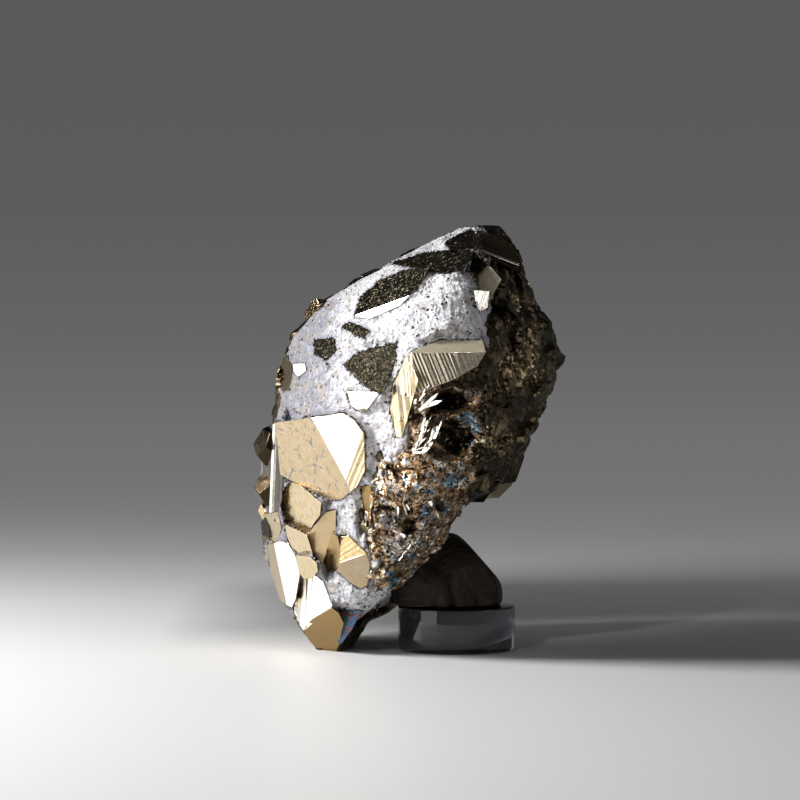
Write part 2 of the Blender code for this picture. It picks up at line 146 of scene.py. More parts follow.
class Finish:
    """A material with one Principled shader, and the method that adds any other node."""

    def __init__(self, name, **constants):
        self.material = bpy.data.materials.new(name)
        self.material.use_nodes = True
        self.tree = self.material.node_tree
        self.shader = self.tree.nodes["Principled BSDF"]
        self.set(**constants)

    def set(self, **values):
        """Sets or links the shader's sockets, named with _ for a space."""
        for name, value in values.items():
            self.plug(self.shader.inputs[name.replace("_", " ")], value)

    def plug(self, target, value):
        if isinstance(value, Wire):
            self.tree.links.new(value.socket, target)
        elif isinstance(value, tuple) and len(value) == 3 and target.type == "RGBA":
            target.default_value = (*value, 1.0)
        else:
            target.default_value = value

    def node(self, kind, settings, sockets, output=0):
        new = self.tree.nodes.new("ShaderNode" + kind)
        for name, value in settings.items():
            if name == "stops":
                fill_ramp(new.color_ramp, value)
            else:
                setattr(new, name, value)
        for name, value in sockets.items():
            self.plug(new.inputs[name], value)
        return Wire(self, new.outputs[output])

    def spot(self):
        """The place on the object, in millimetres."""
        place = self.node("TexCoord", {}, {}, output="Object")
        return self.node("VectorMath", {"operation": "SCALE"}, {0: place, "Scale": 1 / MM})

    def grain(self, size, detail=2.0, roughness=0.5, warp=0.0):
        """Soft random patches of about a size in millimetres, from 0 to 1."""
        sockets = {
            "Vector": self.spot(), "Scale": 1 / size, "Detail": detail,
            "Roughness": roughness, "Distortion": warp,
        }
        return self.node("TexNoise", {}, sockets)

    def cells(self, size, feature="F1"):
        """Cells of about a size in millimetres: the distance from their middle, or their edge."""
        sockets = {"Vector": self.spot(), "Scale": 1 / size}
        return self.node("TexVoronoi", {"feature": feature}, sockets, output="Distance")

    def chips(self, size, stretch=1.0, lean=0.0):
        """Flat facets of about a size, each with a tilt of its own: their height, and a shade each.

        stretch makes them longer along a line that leans in the front view.
        """
        sockets = {
            "Vector": self.spot(), "Rotation": (0.0, math.radians(lean), 0.0),
            "Scale": (size * stretch, size, size),
        }
        spot = self.node("Mapping", {"vector_type": "TEXTURE"}, sockets)
        voronoi = {"Vector": spot, "Scale": 1.0}
        shade = self.node("TexVoronoi", {}, voronoi, output="Color")
        middle = Wire(self, shade.socket.node.outputs["Position"])
        tilt = self.node("VectorMath", {"operation": "SUBTRACT"}, {0: shade, 1: (0.5, 0.5, 0.5)})
        reach = self.node("VectorMath", {"operation": "SUBTRACT"}, {0: spot, 1: middle})
        height = self.node("VectorMath", {"operation": "DOT_PRODUCT"}, {0: tilt, 1: reach}, output="Value")
        return height * size, self.node("SeparateXYZ", {}, {0: shade}, output="X")

    def attribute(self, name):
        """A number that the mesh carries on its faces."""
        return self.node("Attribute", {"attribute_name": name}, {}, output="Fac")

    def relief(self, height):
        """Bumps the surface by a height in millimetres."""
        self.set(Normal=self.node("Bump", {}, {"Strength": 1.0, "Distance": MM, "Height": height}))


print("shader helpers ready")

# %% [markdown]
# ## The studio
#
# The table is pale where the stone stands and fades out into the grey of the room, so there
# is no edge or horizon behind the stone from any side. Its paleness is a painted pool of light:
# its colour is palest at a spot in front and to the left, on the lamps' side, and greys with the
# distance from it. The room is the world: grey at the height of the horizon and darker towards
# the ceiling, which is what the faces that look up reflect.

# %% Room and table
# The room's grey at some elevations. The table's opacity at some distances from its middle, and
# its grey at some distances from its palest spot, in metres: that grey is a painted pool of light.
ROOM_GREYS = (
    (-25, 0.22), (-5, 0.22), (-2.9, 0.18), (-1.4, 0.15), (0, 0.13), (2.7, 0.107), (7, 0.10), (15, 0.05),
    (30, 0.015),
)
TABLE_FADE = ((0.38, 1.0), (0.50, 0.74), (0.62, 0.42), (0.80, 0.21), (1.13, 0.08), (1.6, 0.0))
TABLE_PAINTED_LIGHT_GREYS = ((0.14, 0.98), (0.24, 0.86), (0.34, 0.72), (0.46, 0.62), (0.7, 0.58))
TABLE_PAINTED_LIGHT_SPOT = Vector((-0.2, -0.28, 0.0))
TABLE_MIDDLE = Vector((-0.1, -0.35, 0.0))
TABLE_RADIUS = 1.6

world = bpy.data.worlds.new("room")
bpy.context.scene.world = world
world.use_nodes = True
room = world.node_tree
direction = room.nodes.new("ShaderNodeTexCoord")
upward = room.nodes.new("ShaderNodeSeparateXYZ")
shades = room.nodes.new("ShaderNodeValToRGB")
stops = [((math.sin(math.radians(elevation)) + 1) / 2, (grey,) * 3) for elevation, grey in ROOM_GREYS]
fill_ramp(shades.color_ramp, stops)
height = room.nodes.new("ShaderNodeMapRange")
height.inputs["From Min"].default_value = -1.0
room.links.new(direction.outputs["Generated"], upward.inputs[0])
room.links.new(upward.outputs["Z"], height.inputs["Value"])
room.links.new(height.outputs[0], shades.inputs[0])
room.links.new(shades.outputs[0], room.nodes["Background"].inputs["Color"])

table = Finish("table", Roughness=0.45)


def by_distance(middle, greys):
    """A grey that changes with the distance from a point of the table."""
    place = table.node("TexCoord", {}, {}, output="Object")
    reach = table.node("VectorMath", {"operation": "DISTANCE"}, {0: place, 1: middle}, output="Value")
    stops = [(distance / TABLE_RADIUS, (grey,) * 3) for distance, grey in greys]
    return table.node("ValToRGB", {"stops": stops}, {0: reach * (1 / TABLE_RADIUS)})


# The table's base colour is the painted pool of light; its opacity fades it into the room.
table.set(
    Alpha=by_distance(TABLE_MIDDLE, TABLE_FADE), Base_Color=by_distance(TABLE_PAINTED_LIGHT_SPOT, TABLE_PAINTED_LIGHT_GREYS)
)

bm = bmesh.new()
bmesh.ops.create_circle(bm, cap_ends=True, segments=64, radius=TABLE_RADIUS)
bmesh.ops.translate(bm, vec=TABLE_MIDDLE, verts=bm.verts)
mesh = bpy.data.meshes.new("table")
bm.to_mesh(mesh)
bm.free()
mesh.materials.append(table.material)
floor = show("table", mesh)
print("table", TABLE_RADIUS * 2, "m across")

# %% [markdown]
# ## The lights
#
# A large soft panel stands low on the left, and the crystals that face it turn white. A
# smaller and stronger lamp above it lights the crust and the table, and throws the shadow to
# the right. A faint panel on the right puts a few gold glints on the broken side. Directions
# are given as an azimuth, where 0 is the viewer and 90 the viewer's left, and an elevation.

# %% Lights
AIM = Vector((-10.0, 0.0, 45.0)) * MM
LIGHTS = {
    # name: azimuth, elevation, distance, width, height, watts
    "left_panel": (80, 8, 0.55, 0.95, 0.26, 1.3),
    "left_lamp": (88, 34, 0.52, 0.18, 0.18, 4.5),
    "right_panel": (-70, 30, 0.80, 0.30, 0.30, 0.5),
}


def facing(azimuth, elevation):
    """The direction at an azimuth and an elevation, both in degrees."""
    a, e = math.radians(azimuth), math.radians(elevation)
    return Vector((-math.sin(a) * math.cos(e), -math.cos(a) * math.cos(e), math.sin(e)))


for name, (azimuth, elevation, distance, width, height, watts) in LIGHTS.items():
    light = bpy.data.lights.new(name, "AREA")
    light.shape = "RECTANGLE"
    light.size = width
    light.size_y = height
    light.energy = watts
    lamp = show(name, light)
    away = facing(azimuth, elevation)
    lamp.location = AIM + away * distance
    lamp.rotation_euler = away.to_track_quat("Z", "Y").to_euler()
    lamp.visible_camera = False
    print(name, "radiance", round(watts / (math.pi * width * height), 1))

# A narrow spot from the front reaches the crust and little else, and lifts it out of its own
# shadow.
SPOT_AIM = Vector((-20.0, -15.0, 58.0)) * MM
SPOT_WAY = facing(28, 32)
SPOT_DISTANCE = 0.6
SPOT_WATTS = 3.6
SPOT_ANGLE = 6.8
SPOT_BLEND = 0.4
SPOT_RADIUS = 0.02
spot_data = bpy.data.lights.new("front_spot", "SPOT")
spot_data.energy = SPOT_WATTS
spot_data.spot_size = math.radians(SPOT_ANGLE)
spot_data.spot_blend = SPOT_BLEND
spot_data.shadow_soft_size = SPOT_RADIUS
spot = show("front_spot", spot_data)
spot.location = SPOT_AIM + SPOT_WAY * SPOT_DISTANCE
spot.rotation_euler = SPOT_WAY.to_track_quat("Z", "Y").to_euler()

# A black card hangs just outside the picture and keeps the lamp off the table behind the stone.
CARD = ((-125, 12, 72), (-125, 125, 72), (-125, 125, 230), (-125, 12, 230))
black = Finish("black_card", Base_Color=(0.02, 0.02, 0.02), Roughness=0.8)
mesh = bpy.data.meshes.new("black_card")
mesh.from_pydata([Vector(corner) * MM for corner in CARD], [], [(0, 1, 2, 3)])
mesh.materials.append(black.material)
card = show("black_card", mesh)
card.visible_camera = False

# %% [markdown]
# ## The stone's form
#
# The stone has no axis and no symmetry, but its form can be told with six long edges that run
# from the foot to the crest, as an illustrator would block it in. A smooth curve through the
# six, at every height, gives the outline there. The CAD solid uses the same edges, so
# whatever is built on them here lies where the solid is. Sizes are in millimetres from here
# on, and each piece is brought to metres when it is done.

# %% Six long edges
STONE_HEIGHT = 92.0
# The nearest that a point is brought to the stone's middle, as a share of the way out.
LEAST_ARM = 0.15
# Each edge's points: a height, then the place in plan.
LONG_EDGES = (
    (  # left
        (0, -30.5, 3), (3, -33.5, 4), (10, -37.5, 6), (18, -41, 8), (26, -42.5, 10), (36, -42, 11),
        (50, -40, 12), (61, -38.5, 12), (68, -36, 12), (76, -28.5, 12), (82, -18.5, 12), (87, -9, 11),
        (92, 2, 8),
    ),
    (  # brow
        (0, -30, -3), (10, -26, -12), (20, -20, -19), (33, -19, -22), (48, -11.5, -25.5),
        (65, -10, -25.5), (76, -6, -21), (84, -1.5, -13), (92, 4, 1),
    ),
    (  # cheek
        (0, -25, -6), (6, -22.5, -9), (14, -15.5, -13), (22, -9, -16), (31, -4, -19), (40, 2, -21),
        (50, 6, -22), (65, 7, -21.5), (75, 8, -17.5), (82, 8.5, -13), (88, 8, -6), (92, 7.5, 2),
    ),
    (  # right
        (0, -22.5, 6), (10, -15, 5), (18, -7.5, 4), (26, -1.5, 3), (31, 1, 3), (35, 9.5, 5),
        (44, 15.5, 6), (54, 20.5, 7), (64, 23.2, 8), (70, 21, 8), (76, 17.5, 8.5), (84, 14.5, 9),
        (89, 12.5, 8), (92, 9.5, 6),
    ),
    (  # back right
        (0, -24, 16), (10, -19, 20), (26, -10, 24), (44, 2, 27), (60, 9, 27), (74, 10, 22),
        (86, 10, 16), (92, 8, 10),
    ),
    (  # back left
        (0, -29, 16), (10, -32, 22), (26, -33, 29), (44, -30, 33), (60, -24, 33), (74, -15, 27),
        (86, -3, 19), (92, 4, 11),
    ),
)


def between(knots, spots, t):
    """A point on the smooth curve through four spots, between the middle two."""
    span = knots[2] - knots[1]
    into = (spots[2] - spots[0]) / (knots[2] - knots[0]) * span
    out = (spots[3] - spots[1]) / (knots[3] - knots[1]) * span
    ahead = 3 * t**2 - 2 * t**3
    return (1 - ahead) * spots[1] + (t**3 - 2 * t**2 + t) * into + ahead * spots[2] + (t**3 - t**2) * out


def edge_at(edge, height):
    """The plan position of a long edge at a height."""
    i = sum(1 for point in edge[1:-1] if point[0] <= height)
    four = [edge[min(len(edge) - 1, max(0, i + step))] for step in (-1, 0, 1, 2)]
    t = (height - four[1][0]) / (four[2][0] - four[1][0])
    return between([p[0] for p in four], [np.array(p[1:], float) for p in four], t)


def ring(height, turns):
    """The outline at a height: its points at some turns, and the way out there.

    Turn 0 is the left edge, and the turns run by way of the front to 1.
    """
    corners = np.array([edge_at(edge, height) for edge in LONG_EDGES])
    along = np.mod(turns, 1.0) * len(corners)
    first = along.astype(int)
    four = [corners[(first + step) % len(corners)] for step in (-1, 0, 1, 2)]
    rim = between((-1, 0, 1, 2), four, (along - first)[:, None])
    arms = rim - corners.mean(axis=0)
    return rim, arms


def form_point(height, turn, inset=0.0):
    """A point on the form, or some way under it."""
    rim, arms = ring(height, np.array([turn]))
    centre = rim[0] - arms[0]
    arm = arms[0] * max(LEAST_ARM, 1.0 - inset / np.linalg.norm(arms[0]))
    return Vector((*(centre + arm), height))


print("the form is", [round(c, 1) for c in form_point(64, 0.5)], "at its widest")

# %% [markdown]
# ## Two surfaces that cross
#
# White quartz fills the ground between the crystals on the left and the top. On the real
# stone its border wanders and frays. Cutting such a border would be laborious, so the crust
# and the massive pyrite are two closed skins on the same form, and each dips under the other
# where that one shows. The border is wherever they happen to cross.
#
# `covered` says how far inside the crust's country a point is, as the front view shows it.

# %% The crust's country
CRUST_REGION = ((5.5, 100), (6.6, 67), (-12.7, 13), (-17.7, 9.3), (-27, 9.0), (-60, 4), (-60, 100))
DRUSE_REGION = (
    (20, 67.5), (-7, 66), (-11.9, 54.5), (-18.2, 37.7), (-20.7, 29.3), (-19, 21.4), (-14, 13.6), (10, 10),
)
# Tongues of quartz that run into the druse: middle (across, up), half width, half height.
TONGUES = ((-14.4, 46.6, 3.6, 4.8), (-17.2, 19.3, 1.2, 2.3))
CRUST_BACK = 10.0
BORDER_WANDER = ((1.6, 0.25), (0.7, 0.9))


def sides(outline):
    """The lines that bound a convex outline: a point on each, and its way out."""
    corners = [outline[i] for i in convex_hull_2d([Vector(p) for p in outline])]
    middle = Vector([sum(axis) / len(corners) for axis in zip(*corners)])
    lines = []
    for start, end in zip(corners, corners[1:] + corners[:1]):
        outward = Vector((end[1] - start[1], start[0] - end[0])).normalized()
        if outward.dot(Vector(start) - middle) < 0:
            outward = -outward
        lines.append((Vector(start), outward))
    return lines


def depth_inside(lines, x, z):
    """How far inside some lines a point of the front view is, less than 0 outside."""
    return min(outward.x * (start.x - x) + outward.y * (start.y - z) for start, outward in lines)


def druse_inside(lines, x, z):
    """How far inside some lines a point is, and out of the tongues of quartz."""
    inside = depth_inside(lines, x, z)
    for across, up, half_width, half_height in TONGUES:
        away = math.hypot((x - across) / half_width, (z - up) / half_height)
        inside = min(inside, (away - 1) * half_width)
    return inside


CRUST_LINES = sides(CRUST_REGION)
DRUSE_LINES = sides(DRUSE_REGION)


def rough(spot, layers):
    """Noise in layers, each with its height and how fine it is."""
    return sum(height * noise.noise(spot * fine) for height, fine in layers)


def covered(spot):
    """How far inside the crust's country a spot is, with a border that wanders."""
    inside = min(
        depth_inside(CRUST_LINES, spot.x, spot.z),
        -druse_inside(DRUSE_LINES, spot.x, spot.z),
        CRUST_BACK - spot.y,
    )
    return inside + rough(spot, BORDER_WANDER)


def ease(value, low, high):
    """0 below low, 1 above high, and a smooth rise in between."""
    t = min(1.0, max(0.0, (value - low) / (high - low)))
    return t * t * (3 - 2 * t)


print("country of the crust at its middle:", round(covered(Vector((-20, -15, 60))), 1), "mm deep")

# %% [markdown]
# ## Skins and pieces
#
# A skin starts as a flat grid that is wrapped round the form, and is then pushed in and out,
# point by point, by a function of the place. Broken pyrite isn't bumpy but chipped: `chipped`
# gives every small cell of space a tilt of its own, so that the surface breaks into flat
# facets that catch the light one by one. The tilts come from `noise_vector`, which Blender
# shifts anew each time it starts unless the noise is given a seed.

# %% Helpers for meshes
# How far apart neighbouring cells are in the noise that tilts them.
CELL_STRIDE = 9.7
noise.seed_set(5)


def chipped(spot, chips):
    """The height of a surface broken into tilted flat facets, for each size and steepness."""
    height = 0.0
    for size, steep in chips:
        middle = noise.voronoi(spot / size)[1][0]
        height += steep * size * noise.noise_vector(middle * CELL_STRIDE).dot(spot / size - middle)
    return height


def skin(columns, rows, turns, heights, push):
    """A grid wrapped round the form between two turns and two heights.

    push gives how far a spot is pushed out, in millimetres.
    """
    bm = bmesh.new()
    bmesh.ops.create_grid(bm, x_segments=columns, y_segments=rows, size=0.5)
    every_turn = np.linspace(*turns, columns + 1)
    table_of_rows = {}
    for v in bm.verts:
        row = round((v.co.y + 0.5) * rows)
        table_of_rows.setdefault(row, []).append((round((v.co.x + 0.5) * columns), v))
    for row, cells in table_of_rows.items():
        height = heights[0] + (heights[1] - heights[0]) * row / rows
        rim, arms = ring(height, every_turn)
        ways = arms / np.linalg.norm(arms, axis=1, keepdims=True)
        for column, v in cells:
            spot = Vector((*rim[column], height))
            v.co = spot + Vector((*ways[column], 0.0)) * push(spot)
    return bm


def close_back(bm, backwards):
    """Makes a closed solid of a skin: its rim runs some way back and is filled there."""
    rim = [e for e in bm.edges if e.is_boundary]
    behind = bmesh.ops.extrude_edge_only(bm, edges=rim)["geom"]
    verts = [v for v in behind if isinstance(v, bmesh.types.BMVert)]
    bmesh.ops.translate(bm, vec=backwards, verts=verts)
    bmesh.ops.edgeloop_fill(bm, edges=[e for e in bm.edges if e.is_boundary])
    bmesh.ops.recalc_face_normals(bm, faces=bm.faces)


def add_to(bm, part):
    """Moves a bmesh's faces into another one."""
    mesh = bpy.data.meshes.new("part")
    part.to_mesh(mesh)
    part.free()
    bm.from_mesh(mesh)
    bpy.data.meshes.remove(mesh)


def piece(name, bm, finish, node, crease=30.0):
    """The object for a finished bmesh: in metres, smooth but for its sharp edges, on its body."""
    bmesh.ops.triangulate(bm, faces=bm.faces)
    bmesh.ops.scale(bm, vec=(MM, MM, MM), verts=bm.verts)
    mesh = bpy.data.meshes.new(name)
    bm.to_mesh(mesh)
    bm.free()
    mesh.shade_smooth()
    mesh.set_sharp_from_angle(angle=math.radians(crease))
    mesh.materials.append(finish.material)
    obj = show(name, mesh)
    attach(obj, "root")
    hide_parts(node)
    print(name, len(mesh.polygons), "triangles")


# %% [markdown]
# ## Pyrite's finishes
#
# Fresh faces are pale brassy mirrors, slightly satin. Where air and water have been at them
# they turn brown, and the thinnest tarnish gives blue, violet and teal, as oil does on water.
# Each face carries six numbers that say how far it has gone each way.

# %% Polished, massive and iridescent pyrite
FACE_NUMBERS = ("gilt", "tarnish", "pitting", "veined", "dust", "film")
WHITE_GOLD = (0.93, 0.88, 0.78)
GILT = (0.93, 0.74, 0.45)
BROWN = (0.36, 0.225, 0.07)
DUST = (0.42, 0.37, 0.28)
PITTED = (0.022, 0.019, 0.013)
PITTED_GOLD = (0.12, 0.095, 0.05)
VEIN_GREY = (0.13, 0.13, 0.16)
SMUDGE = (0.50, 0.43, 0.33)
# The next three colours are painted light: near black and brown for shade, gold for highlights.
PAINTED_SHADE_BLACK = (0.03, 0.024, 0.016)
PAINTED_SHADE_BROWN = (0.13, 0.10, 0.06)
PAINTED_GLINT_GOLD = (0.45, 0.35, 0.20)


def crystal_finish():
    """Crystal faces: mirrors, more or less golden, brown, pitted, veined, dusty or iridescent, and painted
    near black as shade where tarnish passes 1.
    """
    finish = Finish("pyrite_crystal")
    gilt, tarnish, pitting, veined, dust, film = (finish.attribute(name) for name in FACE_NUMBERS)
    patches = finish.grain(4.0, 4.0, 0.6)
    fine = finish.grain(0.35, 3.0)
    speckle = finish.grain(0.5, 4.0, 0.7)
    lines = finish.cells(5.0, "DISTANCE_TO_EDGE")
    thread = (1 - (lines + 0.25 * finish.grain(1.2, 3.0)).step(0.135, 0.155)) * patches.step(0.45, 0.51)
    thread = thread * veined
    smudge = (0.4 * gilt + 0.4 * veined) * finish.grain(1.3, 6.0, 0.75, warp=0.5).step(0.5, 0.68)
    colour = (gilt * (0.4 + 1.2 * patches)).clipped().mix(WHITE_GOLD, GILT)
    colour = smudge.mix(colour, SMUDGE)
    colour = (tarnish + 0.5 * tarnish * (finish.grain(2.0, 4.0, 0.65) - 0.5)).clipped().mix(colour, BROWN)
    # Tarnish past 1 is painted shade: the face is coloured towards black instead of mirroring the bright
    # side.
    colour = (tarnish - 1).clipped().mix(colour, PAINTED_SHADE_BLACK)
    colour = thread.mix(colour, VEIN_GREY)
    pitted = speckle.step(0.5, 0.75).mix(PITTED, PITTED_GOLD)
    colour = (pitting * speckle.step(0.25, 0.4)).clipped().mix(colour, pitted)
    dusty = (dust * (0.4 + speckle)).clipped()
    colour = dusty.mix(colour, DUST)
    stops = (
        (0.3, (0.14, 0.05, 0.03)), (0.4, (0.26, 0.13, 0.06)), (0.5, (0.07, 0.11, 0.25)),
        (0.58, (0.07, 0.25, 0.31)), (0.66, (0.19, 0.08, 0.06)),
    )
    colour = film.mix(colour, finish.node("ValToRGB", {"stops": stops}, {0: finish.grain(2.4, 4.0, 0.6)}))
    facets, _ = finish.chips(0.4)
    roughness = (0.12 + 0.08 * fine + 0.16 * pitting + 0.4 * thread + 0.45 * dusty + 0.2 * smudge).clipped()
    metallic = (1 - 0.7 * thread - 0.8 * dusty).clipped()
    finish.set(Base_Color=colour, Roughness=roughness, Metallic=metallic)
    height = 0.02 * fine + 0.12 * finish.grain(6.0) + pitting * (0.9 * facets + 0.12 * speckle)
    finish.relief(height - 0.05 * thread - 0.04 * smudge)
    return finish


def massive_finish():
    """Broken pyrite: painted near black as shade, with gold painted in patches as highlights, where the
    chips are steeper too.
    """
    finish = Finish("massive_pyrite", Metallic=1.0)
    patches = finish.grain(7.0, 3.0, 0.55)
    fine = finish.grain(0.5, 4.0, 0.65)
    coarse, _ = finish.chips(4.0)
    small, shade = finish.chips(0.9)
    # Painted highlights: gold where the patches and the chips' shades allow, also used to steepen the
    # chips.
    golden = (patches.step(0.35, 0.6) * shade.step(0.1, 0.8) * finish.attribute("golden")).clipped()
    colour = fine.step(0.3, 0.7).mix(PAINTED_SHADE_BLACK, PAINTED_SHADE_BROWN)
    finish.set(Base_Color=golden.mix(colour, PAINTED_GLINT_GOLD), Roughness=0.22 + 0.2 * fine)
    finish.relief(0.6 * coarse + (0.12 + 1.0 * golden) * small + 0.04 * fine)
    return finish


def druse_finish():
    """The tarnished druse: hackly, in colours that run from black by gold to blue and teal, with painted
    highlights and painted shade in its crevices.
    """
    finish = Finish("tarnished_druse", Metallic=0.85)
    small, shade = finish.chips(0.6, 3.0, -55)
    large, _ = finish.chips(2.8, 1.6, -50)
    # Painted highlights: random bits of the druse jump to the pale and blue hues.
    painted_glints = 0.4 * finish.grain(0.9, 3.0).step(0.58, 0.64)
    hue = finish.attribute("hue") + 0.14 * (shade - 0.5) + 0.10 * (finish.grain(0.8, 3.0) - 0.5) + painted_glints
    stops = (
        (0.0, (0.008, 0.006, 0.005)), (0.14, (0.05, 0.04, 0.025)), (0.30, (0.52, 0.31, 0.15)),
        (0.46, (0.74, 0.54, 0.32)), (0.60, (0.95, 0.90, 0.82)), (0.70, (0.46, 0.40, 0.46)),
        (0.82, (0.48, 0.60, 0.78)), (1.0, (0.34, 0.50, 0.54)),
    )
    colour = finish.node("ValToRGB", {"stops": stops}, {0: hue})
    # Painted shade: the crevices between the small crystals are coloured black, and also sunk a little.
    cracks_and_shade = finish.grain(1.0, 4.0, 0.7, warp=1.2).step(0.49, 0.43)
    finish.set(Base_Color=cracks_and_shade.mix(colour, PAINTED_SHADE_BLACK), Roughness=0.26 + 0.15 * shade)
    finish.relief(0.6 * small + 0.8 * large - 0.25 * cracks_and_shade)
    return finish


polished = crystal_finish()
massive = massive_finish()
iridescent = druse_finish()
print("three finishes for pyrite")

# %% [markdown]
# ## Crystals from planes
#
# A crystal is the space behind a set of planes. A large block is cut by each plane in turn,
# and the cut is filled: what is left has flat faces and straight edges, whatever the angles.
# The crystals set in the crust were laid open with it, so each is told by the outline that it
# shows from the front, the point where its faces meet, and the way each face looks.

# %% Cutting a crystal
BLOCK = 400.0
DOWN = Vector((0, 0, -1))
GROUND = (Vector((0, 0, 0)), DOWN)
BACKWARD = Vector((0, 1, 0))
# Striations: how nearly a face has to look their way, how their depth and their pitch vary, and
# how deep they still are where they fade.
SAME_LOOK = 0.9995
DEPTH_RANGE = (0.5, 1.3)
PITCH_RANGE = (0.45, 1.55)
FADED = 0.25


def polyhedron(planes):
    """The convex solid behind every plane, each a point on it and its way out."""
    bm = bmesh.new()
    bmesh.ops.create_cube(bm, size=BLOCK)
    for point, outward in planes:
        geom = [*bm.verts, *bm.edges, *bm.faces]
        cut = bmesh.ops.bisect_plane(bm, geom=geom, plane_co=point, plane_no=outward, clear_outer=True)
        rim = [part for part in cut["geom_cut"] if isinstance(part, bmesh.types.BMEdge)]
        if len(rim) > 2:
            bmesh.ops.edgeloop_fill(bm, edges=rim)
    bmesh.ops.recalc_face_normals(bm, faces=bm.faces)
    return bm


def walls(lines):
    """Planes that run straight back from the lines of an outline."""
    return [(Vector((p.x, 0, p.y)), Vector((n.x, 0, n.y))) for p, n in lines]


def paint_faces(bm, numbers):
    """Gives each face of a crystal its numbers, in the order of FACE_NUMBERS."""
    layers = [bm.faces.layers.float.new(name) for name in FACE_NUMBERS]
    for f, values in zip(bm.faces, numbers):
        for layer, value in zip(layers, values):
            f[layer] = value


def soften(bm, width):
    """Takes the razor edge off a crystal, so that its edges catch the light."""
    bmesh.ops.bevel(
        bm, geom=bm.edges[:], offset=width, segments=2, profile=0.5, affect="EDGES", material=-1
    )


def striate(bm, outward, run, pitch, depth, fade, rng):
    """Ridges along a face: cut it into strips, then push in every other cut.

    run is the ridges' direction in the front view. To the right of fade they are shallow.
    """
    along = Vector((run[0], 0, run[1])).normalized()
    across = outward.cross(along - outward * along.dot(outward)).normalized()
    flat = [f for f in bm.faces if f.normal.dot(outward) > SAME_LOOK]
    reach = [v.co.dot(across) for f in flat for v in f.verts]
    if not reach:
        return
    place = min(reach) + pitch * rng.uniform(0.2, 0.8)
    hollow = False
    valleys = {}
    while place < max(reach):
        flat = [f for f in bm.faces if f.normal.dot(outward) > SAME_LOOK]
        geom = dict.fromkeys(part for f in flat for part in (f, *f.edges, *f.verts))
        cut = bmesh.ops.bisect_plane(bm, geom=list(geom), plane_co=across * place, plane_no=across)
        sunk = depth * rng.uniform(*DEPTH_RANGE)
        if hollow:
            valleys |= {v: sunk for v in cut["geom_cut"] if isinstance(v, bmesh.types.BMVert)}
        hollow = not hollow
        place += pitch * rng.uniform(*PITCH_RANGE)
    for v, sunk in valleys.items():
        v.co -= outward * sunk * (FADED if v.co.x > fade else 1.0)


print("crystal cutter ready")

# %% [markdown]
# ## The crystals of the display side
#
# The table holds each crystal's outline (across, up), its meeting point, and its faces as
# azimuth, elevation and finish.

# %% The crystals' places
# Each finish's numbers, in the order of FACE_NUMBERS.
FINISHES = {
    "bright": (0.0, 0.0, 0.0, 0.0, 0.0, 0.0),
    "pale": (0.4, 0.1, 0.0, 0.0, 0.0, 0.0),
    "golden": (1.0, 0.0, 0.0, 0.0, 0.0, 0.0),
    "veined": (0.4, 0.72, 0.0, 1.0, 0.25, 0.0),
    "deep_gold": (1.0, 0.6, 0.0, 0.0, 0.0, 0.0),
    "steel": (0.0, 0.5, 0.05, 0.0, 0.12, 0.0),
    "brown": (0.9, 0.75, 0.0, 0.0, 0.0, 0.0),
    "bronze": (0.3, 1.0, 0.0, 0.0, 0.45, 0.0),
    "dull": (0.2, 0.75, 0.0, 0.0, 0.35, 0.0),
    "ochre": (1.0, 1.25, 0.0, 0.0, 0.1, 0.0),
    # black and slate are painted shade: faces that would mirror the bright side are coloured near black.
    "black": (0.3, 1.95, 0.05, 0.0, 0.0, 0.0),
    "slate": (0.0, 1.9, 0.0, 0.0, 0.22, 0.0),
    "pitted": (0.5, 0.5, 1.0, 0.0, 0.0, 0.0),
    "rugged": (0.8, 0.1, 0.3, 0.0, 0.8, 0.0),
    "iridescent": (0.5, 0.7, 0.3, 0.0, 0.1, 0.95),
}
